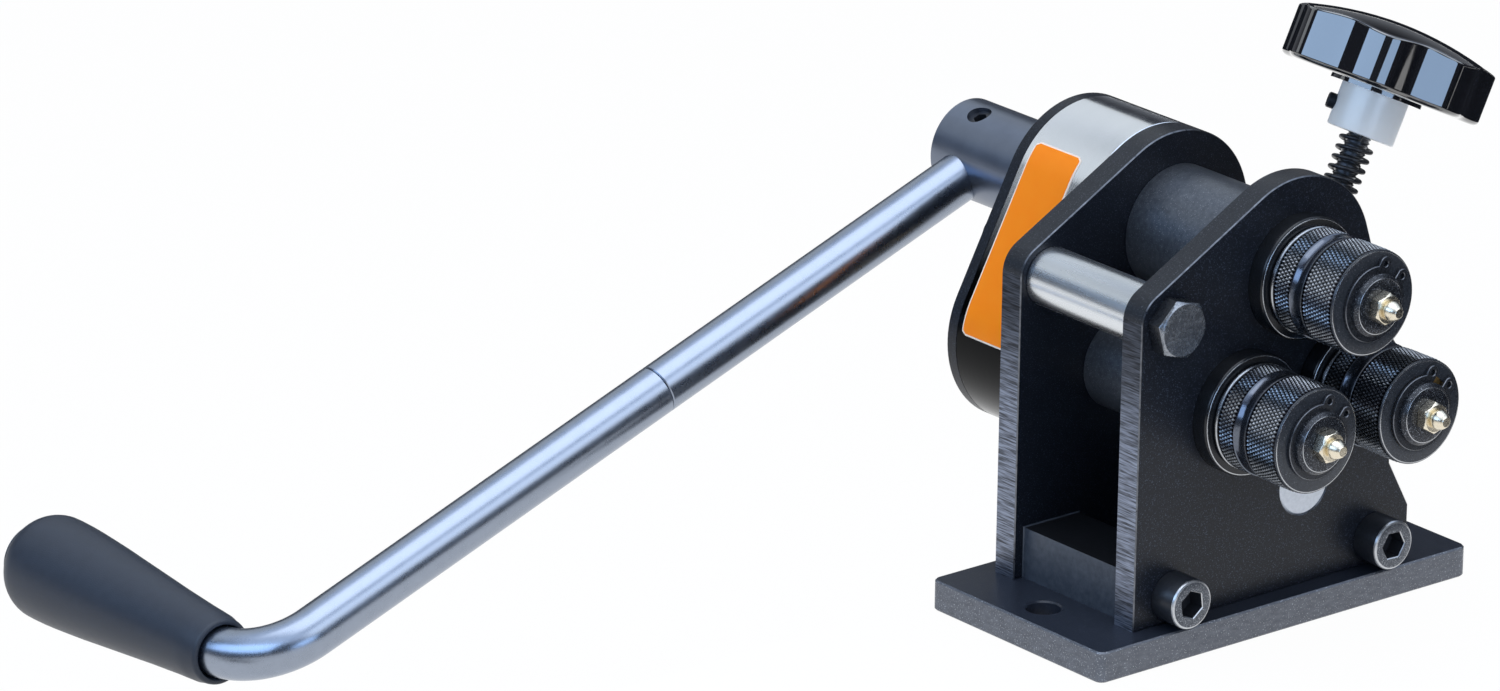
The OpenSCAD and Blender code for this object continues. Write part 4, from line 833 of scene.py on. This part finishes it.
# Adjusting screw: an M8 screw, leaning 26 degrees to the right, runs from the
# knob down through the carriage and the cross pin. Its thread shows between
# the curls of the spring.
screw_r, screw_lead, screw_tail, screw_behind = 4 * mm, 1.25 * mm, 53.5 * mm, -1.5 * mm
collar_at, collar_h = 73 * mm, 14 * mm
thread_sides, per_turn, thread_half = 24, 4, 0.28 * mm
screw_place = (Matrix.Translation((idler_axis[0], screw_behind, idler_axis[1]))
               @ Matrix.Rotation(math.atan2(screw_run.x, screw_run.y), 4, "Y"))
thread_steel = surface("thread_steel", (0.16, 0.165, 0.18), (0.34, 0.35, 0.37), 1.0, 0.32, grain=0.9,
                       speck_depth=0.02)
rod = bmesh.new()
thread_turns = int((collar_at + 6 * mm + screw_tail) / screw_lead) - 1
rows = []
for k in range(thread_turns * per_turn + 1):
    r = screw_r - thread_half * (0, 1, 2, 1)[k % per_turn]
    rows.append([rod.verts.new(screw_place @ polar(r, 2 * math.pi * i / thread_sides, -screw_tail
                                                   + screw_lead * (k / per_turn + i / thread_sides)))
                 for i in range(thread_sides)])
for a, b in zip(rows, rows[1:]):
    for i in range(thread_sides - 1):
        rod.faces.new((a[i], a[i + 1], b[i + 1], b[i]))
for k in range(len(rows) - 1 - per_turn):
    rod.faces.new((rows[k][-1], rows[k + per_turn][0], rows[k + per_turn + 1][0], rows[k + 1][-1]))
bmesh.ops.holes_fill(rod, edges=[e for e in rod.edges if e.is_boundary], sides=0)
bmesh.ops.recalc_face_normals(rod, faces=rod.faces)
set_down("threaded_screw", rod, "screw", [thread_steel], "adjusting_screw", crease=30)

# Spring: a black compression spring of 1.4 mm wire round the screw, from the
# washer on the carriage up to the knob collar. It takes up the play of the
# screw in the carriage.
spring_wire, spring_mid, spring_from, spring_curls = 0.7 * mm, 5.3 * mm, 18 * mm, 16
spring_turn, curl_steps, wire_sides = math.radians(230), 28, 10
spring_black = surface("spring_black", (0.008, 0.008, 0.010), (0.02, 0.02, 0.024), 0.1, 0.30, grain=1,
                       speck_depth=0.02)
coil = bmesh.new()
rise = (collar_at - spring_from - 4 * spring_wire) / spring_curls
path = [polar(spring_mid, spring_turn, 0)]
for k in range(spring_curls * curl_steps + 1):
    turn = 2 * math.pi * k / curl_steps + spring_turn
    path.append(polar(spring_mid, turn, 2 * spring_wire + rise * k / curl_steps))
path.append(path[0] + Vector((0, 0, collar_at - spring_from)))
rings = []
for k, p in enumerate(path):
    ahead = Vector((0, 0, 1)) if k in (0, len(path) - 1) else (path[k + 1] - path[k - 1]).normalized()
    out = Vector((p.x, p.y, 0)).normalized()
    out = (out - out.dot(ahead) * ahead).normalized()
    side = ahead.cross(out)
    centre = p + Vector((0, 0, spring_from))
    rim = [centre + spring_wire * (math.cos(t) * out + math.sin(t) * side)
           for t in [2 * math.pi * i / wire_sides for i in range(wire_sides)]]
    rings.append([coil.verts.new(screw_place @ point) for point in rim])
set_down("coil_spring", skin_over(coil, rings), "carriage", [spring_black], "spring", crease=60)
dress(bare_steel, "spring_washer")

# Knob collar: a bright turned collar fixed to the screw by a black set screw
# that stands out on its left. The knob is moulded onto its top.
# Painted light: the collar's near-white, warm diffuse colour stands in for its bright reflections, and its
# warm tint offsets the blue window light.
collar_steel_painted_light = surface("collar_steel_painted_light", (1.0, 0.93, 0.85), (1.0, 0.95, 0.88), 0.1, 0.34, 0.05, grain=3,
                       speck=0.4, speck_depth=0.012)
rows = [(4.03 * mm, collar_at), (10.4 * mm, collar_at), (10.8 * mm, collar_at + 0.15 * mm),
        (10.95 * mm, collar_at + 0.6 * mm), (10.95 * mm, collar_at + collar_h),
        (4.03 * mm, collar_at + collar_h)]
set_down("bright_collar", turned_part(rows, screw_place, 96), "screw", [collar_steel_painted_light], "knob_collar")
grub_place = (screw_place @ Matrix.Translation((0, 0, collar_at + collar_h / 2))
              @ Matrix.Rotation(math.radians(138), 4, "Z") @ Matrix.Rotation(math.radians(90), 4, "Y"))
rows = in_mm((2.5, 4.1), (2.5, 13), (2.1, 13.4)) + [hex_row(2.5 * mm, 13.4 * mm), hex_row(2.5 * mm, 11 * mm)]
set_down("collar_grub", turned_part(rows, grub_place), "screw", [screw_black], "knob_set_screw")

# Knob: glossy black moulded plastic, 67 mm across with seven lobes, upright
# walls, a crisp rim and a softly domed top. It is moulded onto the collar.
knob_r, knob_low, knob_top, knob_rim, knob_sides = 33.4 * mm, 87 * mm, 110 * mm, 0.8 * mm, 210
lobe_count, lobe_in, lobe_turn = 7, 1.9 * mm, math.radians(64)
knob_gloss = surface("knob_gloss", (0.003, 0.003, 0.004), (0.005, 0.005, 0.006), 0.0, 0.05, 0.015, grain=12,
                     speck=3, speck_depth=0.003, gloss=1.0)
feed(knob_gloss.node_tree.nodes["Principled BSDF"], {"Coat Weight": 1.0, "Coat IOR": 1.9})


def knob_dome(r):
    return knob_top - 5.4 * mm * (r / knob_r) ** 2


def knob_section(wall):
    """Radius and height from the underside up the wall, round the rim and over the dome."""
    inner, low = wall - knob_rim, knob_low
    section = [(15 * mm, low), (15 * mm, low + 1.2 * mm), (0.93 * wall, low + 1.2 * mm),
               (0.965 * wall, low + 1.45 * mm), (0.99 * wall, low + 2.0 * mm), (wall, low + 2.7 * mm),
               (wall, low + 2.9 * mm), (wall, knob_dome(inner) - knob_rim - 0.2 * mm)]
    section += [(inner + knob_rim * math.cos(t), knob_dome(inner) - knob_rim * (1 - math.sin(t)))
                for t in [math.radians(15 * k) for k in range(7)]]
    return section + [(q * inner, knob_dome(q * inner))
                      for q in (0.97, 0.93, 0.87, 0.8, 0.7, 0.58, 0.44, 0.3, 0.15, 0.04)]


lobed = bmesh.new()
columns = []
for a in [2 * math.pi * i / knob_sides for i in range(knob_sides)]:
    wall = knob_r - lobe_in * (1 - math.cos(lobe_count * (a - lobe_turn)))
    columns.append([lobed.verts.new(screw_place @ polar(r, a, t)) for r, t in knob_section(wall)])
set_down("lobed_knob", skin_over(lobed, list(zip(*columns))), "screw", [knob_gloss], "knob", crease=40)

# Crank hub: a gun-metal cylinder keyed on the end of the upper shaft. The bar
# goes into its side and a set screw, sunk in its top, locks it.
hub_gunmetal = surface("hub_gunmetal", (0.17, 0.195, 0.25), (0.22, 0.25, 0.31), 1.0, 0.34, 0.04, grain=5,
                       speck=0.6, speck_depth=0.006)
dress(hub_gunmetal, "crank_hub")
dress(screw_black, "hub_set_screw")

# Crank bar: two 16 mm bars screwed end to end on a hidden stud, so a fine seam
# shows 144 mm out. The outer one bends back to become the grip's rod.
bar_r, bar_plane, bar_end, bar_sides = 8 * mm, 110.8 * mm, 213.7 * mm, 64
crank_drop, crank_arm, bar_seam, bend_r = math.radians(20.3), 307.5 * mm, 144 * mm, 22 * mm
seam_gap, seam_edge, stud_r = 0.1 * mm, 0.35 * mm, 4.2 * mm
crank_gloss = surface("crank_gloss", (0.28, 0.32, 0.39), (0.34, 0.385, 0.47), 1.0, 0.28, 0.05, grain=4,
                      speck=0.5, speck_depth=0.008)
bar_place = (Matrix.Translation((upper_axis[0], bar_plane, upper_axis[1]))
             @ Matrix.Rotation(math.pi - crank_drop, 4, "Y"))


def bar_sweep(name, stations, node):
    """A round bar along stations of place, turn and radius in the bar's own level plane."""
    bm = bmesh.new()
    rings = []
    for x, y, turn, r in stations:
        up, side = Vector((0, 0, 1)), Vector((math.sin(turn), -math.cos(turn), 0))
        rim = [Vector((x, y, 0)) + r * (math.cos(a) * up + math.sin(a) * side)
               for a in [2 * math.pi * i / bar_sides for i in range(bar_sides)]]
        rings.append([bm.verts.new(bar_place @ point) for point in rim])
    set_down(name, skin_over(bm, rings), "crank", [crank_gloss], node, crease=40)


near, far = bar_seam - seam_gap, bar_seam + seam_gap / 2
stations = [(-9 * mm, 0, 0, bar_r), (near - seam_edge, 0, 0, bar_r), (near, 0, 0, bar_r - seam_edge),
            (near, 0, 0, stud_r)]
bar_sweep("inner_bar", stations, "crank_bar_inner")
stations = [(far, 0, 0, stud_r), (far, 0, 0, bar_r - seam_edge), (far + seam_edge, 0, 0, bar_r)]
for a in [math.radians(90 * k / 24) for k in range(25)]:
    stations.append((crank_arm - bend_r + bend_r * math.sin(a), bend_r - bend_r * math.cos(a), a, bar_r))
stations.append((crank_arm, bar_end - bar_plane, math.radians(90), bar_r))
bar_sweep("outer_bar", stations, "crank_bar_outer")
dress(bare_steel, "bar_joint_stud", "grip_screw")

# Grip: a matt black moulded handle that turns freely on the rod, slim with a
# rolled lip at the bend and swelling to a rounded far end. A sunk screw and
# washer hold it.
grip_l, grip_slim_r, grip_full_r, grip_round, grip_from = 100.5 * mm, 10.6 * mm, 17 * mm, 12 * mm, 129.3 * mm
grip_swell = [(0.03, 0.035), (0.1, 0.05), (0.14, 0.09), (0.18, 0.14), (0.25, 0.2), (0.34, 0.28), (0.45, 0.36),
              (0.57, 0.45), (0.69, 0.54), (0.8, 0.62), (0.89, 0.7), (0.95, 0.76), (0.985, 0.81), (1.0, 0.86)]
grip_matt = surface("grip_matt", (0.020, 0.025, 0.036), (0.032, 0.039, 0.053), 0.0, 0.44, 0.05, grain=3,
                    speck=0.35, gloss=0.4)
grip_place = (bar_place @ Matrix.Translation((crank_arm, grip_from - bar_plane, 0))
              @ Matrix.Rotation(math.radians(-90), 4, "X"))
rows = in_mm((8.06, 84.2), (8.06, 5), (8.76, 4.3), (8.76, 0.3), (9.1, 0.02), (9.9, 0.1), (10.4, 0.6),
             (10.6, 1.4))
rows += [(grip_slim_r + (grip_full_r - grip_slim_r) * q, grip_l * t) for q, t in grip_swell]
rows += [(grip_full_r - grip_round * (1 - math.cos(a)), grip_l - grip_round * (1 - math.sin(a)))
         for a in [math.radians(d) for d in range(6, 73, 6)]]
rows += [(11.2 * mm, grip_l), (10.8 * mm, grip_l - 0.5 * mm), (10.8 * mm, 84.6 * mm), (8.06 * mm, 84.6 * mm)]
grip = turned_part(rows, grip_place, 96, close=(False, False))
set_down("hand_grip", grip, "grip_body", [grip_matt], "grip", crease=60)
